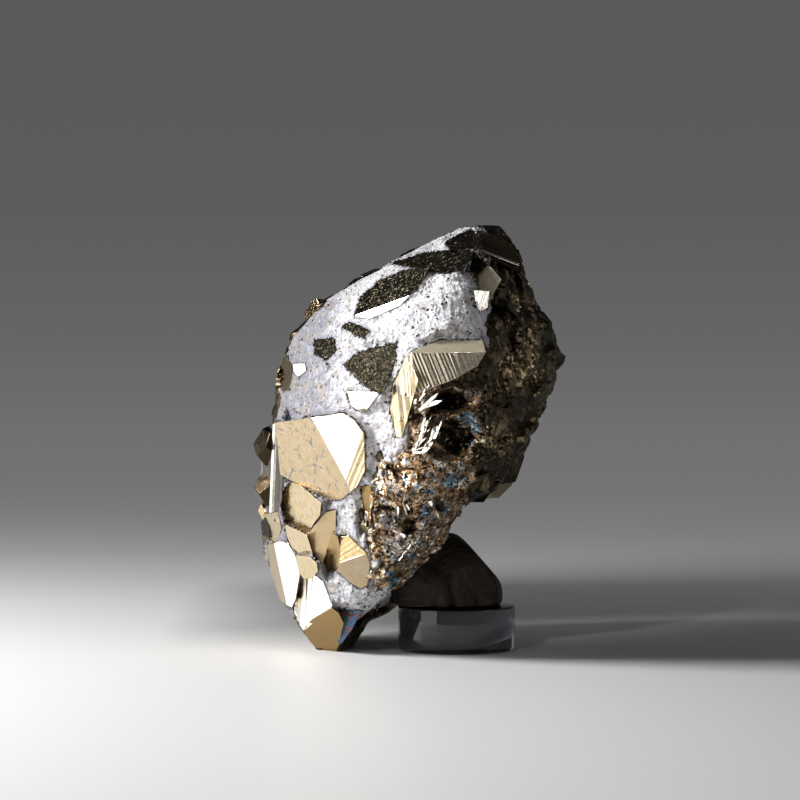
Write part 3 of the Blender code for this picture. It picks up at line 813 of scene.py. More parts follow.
SET_CRYSTALS = {
    "great_octahedron": (
        ((-39.1, 49.3), (-24.3, 51.8), (-21.9, 50.4), (-19.8, 47.5), (-19.6, 39.8), (-21.3, 36.4),
         (-24.8, 33.4), (-27.3, 32.9), (-38.3, 37.9)),
        (-23.7, -20.4, 37.7), ((27, 3, "bright"), (52, -13, "veined"), (20.4, 0.5, "golden")),
    ),
    "pentagon": (
        ((-37.5, 34.5), (-35.8, 36.4), (-34.0, 36.2), (-29.0, 32.6), (-29.3, 30.0), (-32.3, 25.5),
         (-37.3, 27.4), (-38.2, 31.1)),
        (-33.3, -7.2, 31.0), ((62, -8, "golden"),),
    ),
    "low_tan": (
        ((-37.2, 27.2), (-36.9, 24.6), (-36.0, 22.4), (-34.8, 20.9), (-31.0, 21.3), (-32.2, 25.5)),
        (-33.8, -5.5, 22.9), ((62, -22, "golden"),),
    ),
    "grey_wedge": (
        ((-32.2, 25.3), (-28.2, 30.6), (-25.8, 31.2), (-25.9, 27.0), (-28.1, 22.0), (-28.8, 19.5),
         (-30.9, 21.1)),
        (-28.7, -12.4, 26.2), ((45, -12, "bronze"),),
    ),
    "dark_wedge": (
        ((-26.6, 26.6), (-25.4, 25.6), (-24.9, 22.9), (-25.6, 18.0), (-27.5, 17.5), (-28.6, 19.5),
         (-28.0, 22.2)),
        (-26.3, -14.0, 22.1), ((50, -28, "brown"),),
    ),
    "striated_block": (
        ((-24.7, 25.7), (-23.2, 25.9), (-19.4, 22.5), (-18.6, 19.8), (-19.2, 15.3), (-20.7, 14.4),
         (-23.0, 15.9), (-25.5, 18.2), (-25.2, 21.0)),
        (-22.0, -19.2, 21.3), ((30, 6, "deep_gold"), (18.6, -25, "dull")),
    ),
    "small_tan": (
        ((-34.8, 20.7), (-31.8, 20.9), (-30.0, 19.6), (-29.8, 17.7), (-31.3, 15.9), (-33.1, 15.3),
         (-34.2, 16.7)),
        (-33.0, -5.8, 18.0), ((62, -18, "golden"),),
    ),
    "left_flank": (
        ((-41.6, 22.0), (-38.5, 23.2), (-36.6, 22.9), (-34.9, 20.0), (-34.0, 16.2), (-34.9, 11.0),
         (-35.8, 9.0), (-38.6, 10.0), (-41.0, 16.5)),
        (-38.4, 1.5, 16.0), ((46, 0, "bright"), (72, -8, "dull")),
    ),
    "low_block": (
        ((-32.6, 15.7), (-30.7, 16.8), (-28.7, 15.5), (-26.7, 10.3), (-33.1, 4.3), (-34.8, 6.0),
         (-35.8, 8.4), (-34.8, 13.0)),
        (-31.6, -7.4, 10.6), ((42, -4, "bright"), (70, 3, "bright")),
    ),
    "foot": (
        ((-33.2, 4.5), (-31.3, 7.1), (-26.8, 10.3), (-25.3, 9.2), (-24.3, 7.0), (-25.4, 1.6), (-26.1, -0.2),
         (-28.9, -0.2), (-31.2, 1.0), (-32.5, 2.8)),
        (-28.4, -8.5, 4.9), ((40, -35, "ochre"),),
    ),
    "pitted_shield": (
        ((-24.4, 62.0), (-21.8, 63.9), (-19.7, 65.0), (-13.0, 66.5), (-13.1, 63.0), (-15.5, 56.6),
         (-16.7, 55.8), (-20.0, 57.5)),
        (-19.0, -20.5, 56.2), ((44, 22, "pitted"),),
    ),
    "shield_foot": (
        ((-23.5, 56.2), (-16.5, 56.2), (-18.2, 53.8), (-19.7, 51.8), (-21.2, 52.3), (-22.6, 53.1)),
        (-19.0, -20.5, 56.2), ((44, -8, "bright"),),
    ),
    "long_shield": (
        ((-21.9, 72.0), (-20.9, 76.1), (-16.6, 80.0), (-10.2, 82.3), (-5.9, 82.4), (-8.7, 78.1),
         (-12.3, 74.3), (-18.7, 71.6)),
        (-17.0, -13.2, 74.1), ((53, 42, "pitted"), (40, 5, "bright")),
    ),
    "crest_shield": (
        ((-14.4, 83.8), (-6.9, 85.9), (2.2, 86.7), (3.0, 84.5), (0.8, 81.9), (-2.8, 81.0), (-6.3, 82.4)),
        (-4.8, -9.6, 83.7), ((54, 54, "pitted"),),
    ),
    "crest_tip": (
        ((-2.6, 88.3), (2.8, 91.0), (5.7, 88.5), (4.7, 86.9), (-1.6, 86.0)),
        (1.6, -6.4, 88.5), ((40, 62, "pitted"),),
    ),
    "crest_striated": (
        ((4.4, 90.6), (10.3, 89.0), (13.9, 84.3), (13.6, 81.4), (5.8, 85.0)),
        (9.8, -6.5, 86.4), ((-25, 38, "slate"),),
    ),
    "crest_stripe": (
        ((4.8, 86.6), (13.2, 83.5), (13.2, 82.9), (4.8, 86.0)),
        (9.0, -8.65, 84.75), ((-10, 5, "bright"),),
    ),
    "crest_beige": (
        ((6.0, 83.7), (9.1, 79.8), (7.0, 76.3), (3.9, 77.6), (3.9, 80.5), (5.3, 82.6)),
        (6.2, -16.5, 80.0), ((32, 22, "rugged"),),
    ),
    "crest_knob": (
        ((2.2, 82.0), (3.2, 85.6), (6.0, 86.0), (6.4, 83.2), (4.3, 81.0)),
        (4.3, -14.2, 83.4), ((30, 30, "pitted"),),
    ),
    "crest_white": (
        ((3.1, 77.6), (6.4, 77.3), (6.0, 73.8), (4.4, 73.0), (3.4, 74.4)),
        (4.8, -22.0, 75.5), ((25, 0, "bright"),),
    ),
    "striated_crystal": (
        ((-14.0, 56.7), (-11.3, 63.4), (-9.8, 64.9), (-4.0, 67.1), (4.9, 67.1), (5.4, 64.7), (3.7, 61.8),
         (-1.0, 59.1), (-8.2, 58.3), (-11.1, 55.1)),
        (-9.8, -29.0, 64.5), ((9, 4, "steel"), (58, 2, "pale"), (10, 60, "rugged")),
    ),
    "striated_blade": (
        ((-13.8, 57.7), (-11.3, 63.4), (-9.4, 61.0), (-8.6, 58.7), (-10.2, 55.4), (-11.9, 47.0),
         (-13.1, 46.9), (-14.4, 52.9)),
        (-9.8, -29.0, 64.5), ((58, 2, "golden"),),
    ),
    "upper_chip": (
        ((-24.9, 69.9), (-23.0, 70.9), (-18.6, 69.2), (-20.3, 67.5)),
        (-21.9, -11.9, 69.2), ((52, 36, "pitted"),),
    ),
    "brow_chip": (
        ((-30.8, 67.1), (-26.5, 67.5), (-26.0, 64.9), (-28.3, 62.8), (-30.8, 64.1)),
        (-28.4, -5.9, 64.9), ((58, 28, "pitted"),),
    ),
    "left_brow": (
        ((-38.3, 63.0), (-37.0, 63.6), (-35.6, 60.1), (-36.6, 56.1), (-38.0, 55.6), (-38.8, 59.2)),
        (-35.4, 2.8, 58.8), ((70, 5, "golden"),),
    ),
    "brow_white": (
        ((-35.7, 61.9), (-32.9, 62.1), (-32.6, 60.4), (-34.5, 59.0), (-35.5, 60.0)),
        (-34.2, 1.2, 60.5), ((44, 8, "bright"),),
    ),
    "left_edge_blade": (
        ((-43.4, 46.6), (-38.5, 49.7), (-37.4, 39.2), (-38.0, 32.6), (-39.4, 27.2), (-42.4, 28.8),
         (-43.7, 37.4)),
        (-40.6, 8.2, 38.5), ((74, 2, "bright"),),
    ),
    "ochre_face": (
        ((-20.5, 36.4), (-18.4, 36.8), (-18.2, 32.4), (-18.6, 27.2), (-19.9, 30.4)),
        (-19.2, -20.6, 32.0), ((50, -10, "ochre"),),
    ),
    "orange_facet": (
        ((-15.9, 41.0), (-14.6, 41.8), (-13.9, 40.5), (-14.4, 37.3), (-15.8, 37.4)),
        (-15.0, -24.0, 39.5), ((45, -12, "ochre"),),
    ),
    "low_orange": (
        ((-17.6, 17.0), (-16.0, 18.3), (-14.9, 17.0), (-15.1, 15.2), (-16.8, 14.6)),
        (-16.2, -17.6, 16.5), ((48, -15, "ochre"),),
    ),
    "iridescent_strip": (
        ((-25.4, 9.7), (-20.5, 9.5), (-22.5, 5.3), (-25.0, 1.8), (-26.2, 3.0)),
        (-23.6, -11.6, 8.0), ((22, -18, "iridescent"),),
    ),
    "left_edge_lump": (
        ((-42.8, 28.4), (-38.9, 29.8), (-38.1, 25.9), (-39.7, 22.2), (-42.4, 23.9)),
        (-40.3, 6.8, 25.5), ((70, -10, "golden"),),
    ),
}
# How far back a crystal reaches behind its meeting point.
ROOT_DEPTH = 13.0
DEEP_ROOTS = {"great_octahedron": 22.0}
# Which face of which crystal is striated: the ridges' run in the front view, their pitch, their
# depth, and where they fade.
STRIATIONS = (
    ("striated_crystal", 0, (11, -26), 0.46, 0.105, -0.5),
    ("striated_crystal", 1, (11, -26), 1.3, 0.06, 9),
    ("striated_blade", 0, (11, -26), 1.5, 0.16, 9),
    ("great_octahedron", 0, (-17, -36), 2.6, 0.02, 9),
    ("great_octahedron", 2, (-17, -36), 0.55, 0.09, 9),
    ("striated_block", 0, (16, 7), 0.5, 0.07, 9),
    ("striated_block", 1, (16, 7), 1.1, 0.03, 9),
    ("low_block", 0, (-3, -12), 1.0, 0.03, 9),
    ("low_block", 1, (-3, -12), 1.5, 0.4, 9),
    ("left_flank", 0, (-2, -12), 1.6, 0.05, 9),
    ("crest_striated", 0, (34, -14), 1.1, 0.45, 99),
    ("crest_white", 0, (-7, -15), 0.7, 0.05, 9),
    ("left_edge_blade", 0, (-1, -8), 1.5, 0.3, 9),
)
print(len(SET_CRYSTALS), "crystals set in the crust")

# %% [markdown]
# ## The quartz crust
#
# The crust is granular and white, and meets each crystal close to the level of its faces, as
# if both had been worn down together. So the skin of the crust is drawn towards the plane of
# a crystal's face near its outline, and sinks out of the way behind it.

# %% Quartz finish
QUARTZ_WHITE = (0.84, 0.83, 0.86)
QUARTZ_GREY = (0.31, 0.31, 0.355)
QUARTZ_STAIN = (0.50, 0.40, 0.27)
SPECK_BROWN = (0.10, 0.08, 0.06)
PEPPER = (0.24, 0.24, 0.28)


def quartz_finish():
    """Sugary quartz: white with grey patches, stained and specked, and painted shade that greys it towards
    the left.
    """
    finish = Finish("quartz_crust", Specular_IOR_Level=0.5)
    border = finish.attribute("border")
    across = finish.node("SeparateXYZ", {}, {0: finish.spot()}, output="X")
    patches = finish.grain(4.0, 5.0, 0.65)
    fine = finish.grain(0.5, 4.0, 0.65)
    specks = finish.grain(1.0, 3.0, 0.65) + 0.12 * (finish.grain(5.0, 2.0) - 0.5)
    pepper = finish.grain(0.9, 5.0, 0.75, warp=0.4) + 0.25 * (finish.grain(6.0, 3.0) - 0.5)
    # Painted shade: the crust greys towards the left, where its left-facing side would take less light.
    painted_left_shade = (across * -1).step(20, 34)
    mottle = finish.grain(1.8, 4.0, 0.7).step(0.38, 0.62)
    # The border number greys the quartz along the crystals' outlines as painted shade, and adds a few
    # specks there.
    grey = 0.5 * patches.step(0.5, 0.64) + painted_left_shade * (0.75 + 0.6 * mottle) + 0.35 * border
    colour = grey.clipped().mix(QUARTZ_WHITE, QUARTZ_GREY)
    stain = (finish.grain(2.0, 4.0) + 0.06 * painted_left_shade).step(0.54, 0.7)
    colour = (0.6 * stain).mix(colour, QUARTZ_STAIN)
    pepper_mask = 0.6 * (pepper + 0.04 * painted_left_shade + 0.04 * border).step(0.52, 0.6)
    colour = pepper_mask.mix(colour, PEPPER)
    colour = (0.85 * (specks + 0.08 * border).step(0.60, 0.68)).mix(colour, SPECK_BROWN)
    finish.set(Base_Color=colour, Roughness=0.38 + 0.3 * fine)
    finish.relief(0.6 * fine + 0.4 * finish.cells(0.9) - 0.3 * pepper)
    return finish


sugary = quartz_finish()
print("quartz finish ready")

# %% Quartz crust
CRUST_GRID = (250, 300)
CRUST_TURNS = (-0.06, 0.42)
CRUST_HEIGHTS = (1.0, 91.5)
CRUST_BACKWARDS = (2.5, 5.0, 0.0)
# Where the crust lies under the form, how far it rises in its country and drops away outside it,
# and over what stretches of the border it does each.
CRUST_SUNK, CRUST_RISE, CRUST_DROP = -2.2, 2.4, 5.0
CRUST_EDGE, CRUST_ROOT = (-1.0, 1.2), (1.0, 4.0)
CRUST_ROUGH = ((0.45, 0.3), (0.35, 0.8), (0.22, 2.1))
SUGAR_RISE, SUGAR_FINENESS = 0.3, 1.1
# Outside an outline: how far out the crust is drawn to a face's level, how much lower it stays,
# and how strongly it is drawn. Within the outline: how far under the face it lies.
DRAW_REACH, DRAW_BELOW, DRAW = 2.0, 0.25, 0.8
ROOM_BELOW = 0.9
# A face that is farther than this from the skin draws nothing.
FACE_REACH = 12
# How an outline wanders, and the stretch beside it over which the quartz is painted greyer, as shade along
# the crystal's outline.
OUTLINE_WANDER = ((0.35, 1.3),)
BESIDE = (-1.1, -0.1)
SET_LINES = {name: sides(crystal[0]) for name, crystal in SET_CRYSTALS.items()}


def face_depth(crystal, x, z):
    """How far back the crystal's faces are at a point of the front view, and how steep there."""
    _, meeting, faces = crystal
    depths = []
    for azimuth, elevation, _ in faces:
        n = facing(azimuth, elevation)
        depth = meeting[1] - (n.x * (x - meeting[0]) + n.z * (z - meeting[2])) / n.y
        depths.append((depth, -1 / n.y))
    return max(depths)


def crust_push(spot):
    """How far the crust stands out of the form: above it inside its country, sunk outside."""
    sugar = SUGAR_RISE * (0.5 - noise.voronoi(spot * SUGAR_FINENESS)[0][0])
    inside = covered(spot)
    level = CRUST_SUNK + CRUST_RISE * ease(inside, *CRUST_EDGE) - CRUST_DROP * ease(-inside, *CRUST_ROOT)
    return level + rough(spot, CRUST_ROUGH) + sugar


def make_room(v, draw):
    """Sinks a point of a skin behind the set crystals' faces, and says how near it is to one.

    draw is how strongly the skin is drawn to the level of a face beside it.
    """
    wander = rough(v.co, OUTLINE_WANDER)
    beside = []
    for name, crystal in SET_CRYSTALS.items():
        inside = depth_inside(SET_LINES[name], v.co.x, v.co.z) + wander
        if inside > -DRAW_REACH:
            front, steepness = face_depth(crystal, v.co.x, v.co.z)
            if abs(front - v.co.y) < FACE_REACH:
                beside.append((inside, front, steepness))
    for inside, front, _ in beside:
        if inside <= 0:
            v.co.y += (front + DRAW_BELOW - v.co.y) * draw * ease(inside, -DRAW_REACH, 0.0)
    for inside, front, steepness in beside:
        if inside > 0:
            v.co.y = max(v.co.y, front + ROOM_BELOW * steepness)
    return max([ease(inside, *BESIDE) for inside, *_ in beside], default=0.0)


crust = skin(*CRUST_GRID, CRUST_TURNS, CRUST_HEIGHTS, crust_push)
# Each crust point's nearness to a crystal's outline, which the quartz's colour uses for painted shade.
border = crust.verts.layers.float.new("border")
for v in crust.verts:
    if covered(v.co) > -1.0:
        v[border] = make_room(v, DRAW)
close_back(crust, CRUST_BACKWARDS)
CRUST_SPOTS = [v.co.copy() for v in crust.verts if covered(v.co) > 0.3]
piece("quartz_crust", crust, sugary, "quartz_matrix", crease=60)

# %% [markdown]
# ## The massive pyrite
#
# On the right and behind, the stone is solid pyrite, broken rather than grown: hackly, nearly
# black where it looks into the dark room, with gold glints where a chip faces the light. Both
# are also painted into its colour: near black as painted shade, and gold patches as painted
# highlights. Two hollows open under the striated crystal.

# %% Massive pyrite
MASS_GRID = (400, 185)
MASS_CHIPS = ((6.0, 0.4), (2.4, 0.45))
MASS_ROUGH = ((0.15, 1.3),)
# The lumps: how fine they are, how high, where they are cut off, and how far they are sunk.
LUMP_FINENESS, LUMP_RISE, LUMP_TOP, LUMP_SUNK = 0.12, 2.4, 0.5, 0.8
# The relief grows over these heights above the ground and below the top.
FOOT_FADE, TOP_FADE = (0.0, 6.0), (0.0, 4.0)
# How far the pyrite dips under the crust, and over what stretch of the border.
UNDER_CRUST = 1.7
UNDER_EDGE = (-1.2, 1.0)
HOLLOWS = (
    # across, up, half width, half height, depth
    (-2.2, 54.4, 5.0, 2.9, 6.0),
    (-2.2, 46.9, 6.4, 4.8, 6.0),
)
HOLLOW_WALL = (0.45, 1.1)


def hollow_depth(spot):
    """How deep the hollows are at a spot."""
    depth = 0.0
    if spot.y < 0:
        for x, z, half_width, half_height, deep in HOLLOWS:
            away = math.hypot((spot.x - x) / half_width, (spot.z - z) / half_height)
            depth += deep * (1 - ease(away, *HOLLOW_WALL))
    return depth


def mass_push(spot):
    """The relief of the broken pyrite, which dips under the crust."""
    near, second = noise.voronoi(spot * LUMP_FINENESS)[0][:2]
    lumps = LUMP_RISE * min(second - near, LUMP_TOP) - LUMP_SUNK
    chips = chipped(spot, MASS_CHIPS) + rough(spot, MASS_ROUGH)
    rise = ease(spot.z, *FOOT_FADE) * ease(STONE_HEIGHT - spot.z, *TOP_FADE)
    return (lumps + chips) * rise - hollow_depth(spot) - UNDER_CRUST * ease(covered(spot), *UNDER_EDGE)


# Where the display side is more golden or more black: across, up, half width, half height, and
# how golden it is there. The gold is painted highlight and the black is painted shade.
MASS_GLINT_AND_SHADE_PATCHES = (
    (9.9, 77.0, 3.0, 4.6, -0.3), (13.2, 75.2, 2.4, 2.8, 2.0), (16.6, 70.7, 2.0, 2.0, 1.6),
    (13.6, 62.5, 5.5, 8.0, 1.2), (19.5, 58.0, 2.5, 8.0, 0.4), (7.7, 36.0, 7.0, 4.5, -0.2),
    (10.8, 46.5, 5.0, 4.0, 0.5), (-3.0, 23.0, 5.0, 6.0, 0.6), (12.0, 84.0, 6.0, 4.0, -0.2),
)
GROUND_GOLD = 0.2
# A patch's border: how far it wanders and how finely, where it starts and ends, and how far back
# there are patches at all.
PATCH_WANDER, PATCH_FINENESS = 0.7, 0.6
PATCH_BORDER = (0.75, 1.15)
PATCH_BACK = 12


def patched(spot, level, patches):
    """A number at a spot: a level, but that of a patch where the spot is in one."""
    if spot.y > PATCH_BACK:
        return level
    x = spot.x + PATCH_WANDER * noise.noise(spot * PATCH_FINENESS)
    z = spot.z + PATCH_WANDER * noise.noise(spot * PATCH_FINENESS + Vector((9, 0, 0)))
    for across, up, half_width, half_height, value in patches:
        away = math.hypot((x - across) / half_width, (z - up) / half_height)
        level += (value - level) * (1 - ease(away, *PATCH_BORDER))
    return level


mass = skin(*MASS_GRID, (0.0, 1.0), (0.0, STONE_HEIGHT), mass_push)
golden = mass.verts.layers.float.new("golden")
for v in mass.verts:
    v[golden] = patched(v.co, GROUND_GOLD, MASS_GLINT_AND_SHADE_PATCHES)
    make_room(v, 0.0)
bmesh.ops.remove_doubles(mass, verts=[v for v in mass.verts if v.is_boundary], dist=0.001)
rims = [e for e in mass.edges if e.is_boundary]
bmesh.ops.holes_fill(mass, edges=rims, sides=0)
bmesh.ops.recalc_face_normals(mass, faces=mass.faces)
piece("massive_pyrite", mass, massive, "pyrite", crease=35)

# %% [markdown]
# ## Cutting the set crystals
#
# Each crystal's outline runs straight back into the stone, and its faces close it at the
# front. Striations are real ridges: on pyrite they are where two face directions take turns
# as the crystal grows, so the strips between the cuts tilt left and right, and one set shows
# the bright side of the room while the other shows the dark.

# %% Set crystals
SET_EDGE = 0.12


def set_crystal(name, rng):
    """A crystal from its outline and its faces, with its striations."""
    _, meeting, faces = SET_CRYSTALS[name]
    meeting = Vector(meeting)
    root = meeting + BACKWARD * DEEP_ROOTS.get(name, ROOT_DEPTH)
    looks = [facing(azimuth, elevation) for azimuth, elevation, _ in faces]
    planes = walls(SET_LINES[name]) + [(meeting, look) for look in looks]
    bm = polyhedron([*planes, (root, BACKWARD), GROUND])
    soften(bm, SET_EDGE)
    nearest = [max(range(len(looks)), key=lambda i: f.normal.dot(looks[i])) for f in bm.faces]
    paint_faces(bm, [FINISHES[faces[i][2]] for i in nearest])
    for crystal, face, run, pitch, depth, fade in STRIATIONS:
        if crystal == name:
            striate(bm, looks[face], run, pitch, depth, fade, rng)
    return bm


rng = random.Random(3)
set_crystals = bmesh.new()
for name in SET_CRYSTALS:
    add_to(set_crystals, set_crystal(name, rng))
piece("set_crystals", set_crystals, polished, "pyrite", crease=3)

# %% [markdown]
# ## Free crystals
#
# Over the back and the left edge the crystals grew free, in three habits: the cube cut by the
# octahedron, the twelve-sided pyritohedron, and the cube with its corners just taken off.

# %% Free crystals
OCTAHEDRON = [(Vector((x, y, z)).normalized(), 0.72) for x in (-1, 1) for y in (-1, 1) for z in (-1, 1)]
CUBE = [(Vector(axis) * sign, 0.8) for axis in ((1, 0, 0), (0, 1, 0), (0, 0, 1)) for sign in (-1, 1)]
PYRITOHEDRON = [
    (Vector(axes).normalized(), 0.86)
    for a in (-2, 2)
    for b in (-1, 1)
    for axes in ((a, b, 0), (0, a, b), (b, 0, a))
]
HABITS = (OCTAHEDRON + CUBE, PYRITOHEDRON, CUBE + [(n, 0.98) for n, _ in OCTAHEDRON], PYRITOHEDRON)
# Crystals placed one by one: the centre, the radius, and the turns about x, y and z.
EDGE_CRYSTALS = (
    ((-40.0, 13.0, 43.5), 4.6, (20, 30, 10)),
    ((-40.5, 13.5, 33.5), 4.2, (50, 10, 70)),
    ((-39.0, 12.0, 25.5), 4.0, (10, 60, 35)),
    ((3.6, 5.0, 36.4), 5.0, (15, 25, 40)),
    ((10.5, 9.0, 40.0), 4.6, (35, 5, 20)),
)
# How far a crystal strays from its cell's middle, and the rows' distance, as shares of the
# spacing. The edge's width is a share of the crystal's radius.
JITTER = 0.35
ROW_STEP = 0.9
FREE_EDGE = 0.03
BACK_TARNISH = (0.1, 0.7)


def free_crystal(centre, radius, turns, habit):
    """A crystal of a whole form about a centre, clear of the ground."""
    spin = Euler([math.radians(a) for a in turns]).to_matrix()
    planes = [(Vector(centre) + spin @ n * radius * out, spin @ n) for n, out in habit]
    bm = polyhedron([*planes, GROUND])
    soften(bm, FREE_EDGE * radius)
    return bm


def scattered(seed, heights, turns, spacing, radii, sunk):
    """Free crystals over a stretch of the stone, one to each cell of a jittered grid."""
    rng = random.Random(seed)
    crystals = []
    height = heights[0]
    while height < heights[1]:
        low, middle, high = (form_point(height, turn) for turn in (turns[0], sum(turns) / 2, turns[1]))
        girth = (middle - low).length + (high - middle).length
        count = max(1, round(girth / spacing))
        for k in range(count):
            share = (k + 0.5 + rng.uniform(-JITTER, JITTER)) / count
            turn = turns[0] + (turns[1] - turns[0]) * share
            radius = rng.uniform(*radii)
            level = min(STONE_HEIGHT - 1, max(1, height + rng.uniform(-JITTER, JITTER) * spacing))
            turned = [rng.uniform(0, 90) for _ in range(3)]
            crystals.append((form_point(level, turn, radius * sunk), radius, turned, rng.choice(HABITS)))
        height += spacing * ROW_STEP
    return crystals


back = [(*place, PYRITOHEDRON) for place in EDGE_CRYSTALS]
back += scattered(11, (8, 84), (0.55, 0.9), 11.0, (4.5, 7.5), 0.45)
back += scattered(7, (14, 84), (0.9, 0.98), 9.5, (3.0, 4.5), 0.7)
free_crystals = bmesh.new()
rng = random.Random(17)
for i, crystal in enumerate(back):
    bm = free_crystal(*crystal)
    # The placed crystals on the edges take the black finish: painted shade for the dark they stand in.
    numbers = FINISHES["black"]
    if i >= len(EDGE_CRYSTALS):
        numbers = (0.8, rng.uniform(*BACK_TARNISH), 0.1, 0.0, 0.0, 0.0)
    paint_faces(bm, [numbers] * len(bm.faces))
    add_to(free_crystals, bm)
piece("free_crystals", free_crystals, polished, "pyrite", crease=12)

# %% [markdown]
# ## The tarnished druse
#
# Between the striated crystal and the foot the crystals are tiny and each has its own tarnish
# colour, with painted shade and painted highlights laid over it. There are far too many to cut
# one by one: three small forms are cut once, and copied on to points picked from the skin of the
# stone.

# %% Small crystals on a skin
def small_forms():
    """Unit crystals, cut once, as meshes to copy."""
    forms = []
    for i, habit in enumerate((OCTAHEDRON + CUBE, PYRITOHEDRON, CUBE)):
        bm = polyhedron([(n * out, n) for n, out in habit])
        mesh = bpy.data.meshes.new(f"form_{i}")
        bm.to_mesh(mesh)
        bm.free()
        forms.append(mesh)
    return forms


SMALL_FORMS = small_forms()


def sprinkle(places, sizes, rng, stretch):
    """One bmesh of small crystals, one at each place, with a random turn and size."""
    bm = bmesh.new()
    for place in places:
        part = bmesh.new()
        part.from_mesh(rng.choice(SMALL_FORMS))
        size = rng.uniform(*sizes)
        turn = Euler([rng.uniform(0, math.tau) for _ in range(3)]).to_matrix().to_4x4()
        shape = Matrix.Diagonal((size * rng.uniform(1, stretch), size, size * rng.uniform(0.5, 1), 1))
        part.transform(Matrix.Translation(place) @ turn @ shape)
        add_to(bm, part)
    return bm


# %% Tarnished druse
DRUSE_GRID = (190, 270)
DRUSE_TURNS = (0.16, 0.44)
DRUSE_HEIGHTS = (8.0, 60.0)
DRUSE_BACKWARDS = (-1.0, 4.0, 0.0)
DRUSE_CHIPS = ((4.5, 0.8), (1.7, 0.8))
DRUSE_ROUGH = ((0.4, 0.35),)
DRUSE_WANDER = ((1.0, 0.3), (0.6, 1.0))
# How far the druse stands out, and how far it dips over what stretch outside its country.
DRUSE_STAND, DRUSE_DIP = 1.1, 4.0
DRUSE_EDGE = (-0.5, 1.5)
# The hue where there is no patch: its level, and the noise on it.
GROUND_HUE = 0.43
GROUND_WANDER = ((0.26, 0.5), (0.26, 1.3))
DRUSE_HEART = (
    (-9.8, 58.5), (4.5, 56.5), (5.4, 48.2), (3.5, 39.8), (-0.7, 29.3), (-6.0, 20.9), (-12.3, 14.0),
    (-16.5, 14.5), (-18.4, 25.1), (-18.4, 35.5),
)
HEART_LINES = sides(DRUSE_HEART)
# Patches of one colour: across, up, half width, half height, hue from black by gold to teal. The
# black patches in and beside the two hollows are painted shade.
DRUSE_TARNISH_AND_SHADE_PATCHES = (
    (-3.5, 58.0, 5.0, 1.0, 0.30), (-2.4, 54.4, 4.0, 2.1, -0.1), (-3.2, 51.9, 3.4, 0.8, 0.34),
    (-0.4, 47.0, 4.0, 4.1, 0.04), (-6.8, 46.9, 2.4, 3.6, 0.45), (1.6, 50.9, 1.8, 1.5, 0.95),
    (3.4, 48.6, 0.9, 1.4, 0.95), (2.9, 45.2, 0.8, 1.0, 0.95), (-9.0, 51.3, 1.4, 0.8, 0.0),
    (-10.6, 53.5, 0.7, 4.0, -0.1), (-8.6, 57.6, 1.0, 1.0, -0.1), (-10.2, 46.5, 0.8, 3.4, 0.16),
    (-18.0, 30.0, 0.4, 3.2, -0.1), (-8.5, 26.0, 2.2, 3.0, 0.5), (-12.0, 18.6, 2.2, 1.8, 0.46),
    (4.0, 43.0, 1.6, 3.0, 0.1), (5.0, 52.0, 1.2, 4.0, 0.1),
    (-11.5, 37.5, 0.5, 1.2, 0.76), (-8.8, 36.6, 0.7, 0.6, 0.9), (-5.6, 36.9, 1.4, 1.2, 0.48),
    (-6.0, 35.4, 1.2, 0.5, 0.9), (-5.2, 34.3, 2.0, 0.8, 0.48), (-7.1, 31.2, 1.0, 1.2, 0.9),
    (-5.2, 31.0, 0.9, 2.0, 0.6), (-11.3, 35.4, 0.8, 0.6, 0.36), (-16.9, 35.5, 0.6, 0.6, 0.76),
    (-15.3, 32.1, 2.3, 0.8, 0.0), (-10.4, 31.6, 1.0, 0.8, 0.0), (-10.5, 27.8, 2.0, 1.8, 0.1),
    (-15.8, 33.5, 0.5, 0.4, 0.88), (-14.8, 29.1, 2.2, 1.6, 0.66), (-12.7, 30.6, 0.6, 0.6, 0.84),
    (-1.6, 37.9, 1.6, 1.7, 0.97), (-2.5, 31.7, 0.7, 0.8, 0.95), (-12.3, 23.8, 3.2, 2.6, 0.56),
    (-9.9, 21.4, 0.9, 0.7, 0.8), (-13.3, 21.1, 0.7, 0.5, 0.95), (-14.3, 18.3, 0.8, 1.0, 0.88),
    (-13.7, 15.9, 1.2, 1.4, 1.0),
)


def druse_depth(spot):
    """How far inside the druse's country a spot is."""
    return druse_inside(HEART_LINES, spot.x, spot.z) + rough(spot, DRUSE_WANDER)


def druse_push(spot):
    """The druse stands just out of the massive pyrite in its country and dips under outside."""
    relief = chipped(spot, DRUSE_CHIPS) + rough(spot, DRUSE_ROUGH)
    return relief + DRUSE_STAND - DRUSE_DIP * ease(-druse_depth(spot), *DRUSE_EDGE) - hollow_depth(spot)


druse = skin(*DRUSE_GRID, DRUSE_TURNS, DRUSE_HEIGHTS, druse_push)
druse_spots = [v.co.copy() for v in druse.verts if druse_depth(v.co) > 0.5]
close_back(druse, DRUSE_BACKWARDS)


def paint_druse(bm):
    """Gives every vertex its hue."""
    hue = bm.verts.layers.float.new("hue")
    for v in bm.verts:
        v[hue] = patched(v.co, GROUND_HUE + rough(v.co, GROUND_WANDER), DRUSE_TARNISH_AND_SHADE_PATCHES)


SHARDS = 260
SHARD_SIZES = (0.1, 0.3)
rng = random.Random(41)
shards = sprinkle(rng.sample(druse_spots, SHARDS), SHARD_SIZES, rng, stretch=4.0)
paint_druse(druse)
paint_druse(shards)
piece("tarnished_druse", druse, iridescent, "pyrite", crease=15)
piece("druse_crystals", shards, iridescent, "pyrite", crease=12)

# %% [markdown]
# ## Blades in the hollows
#
# At the left rim of each hollow a few blades stand out, and they mirror the bright side of the
# room. Each is a long thin plate between two points.

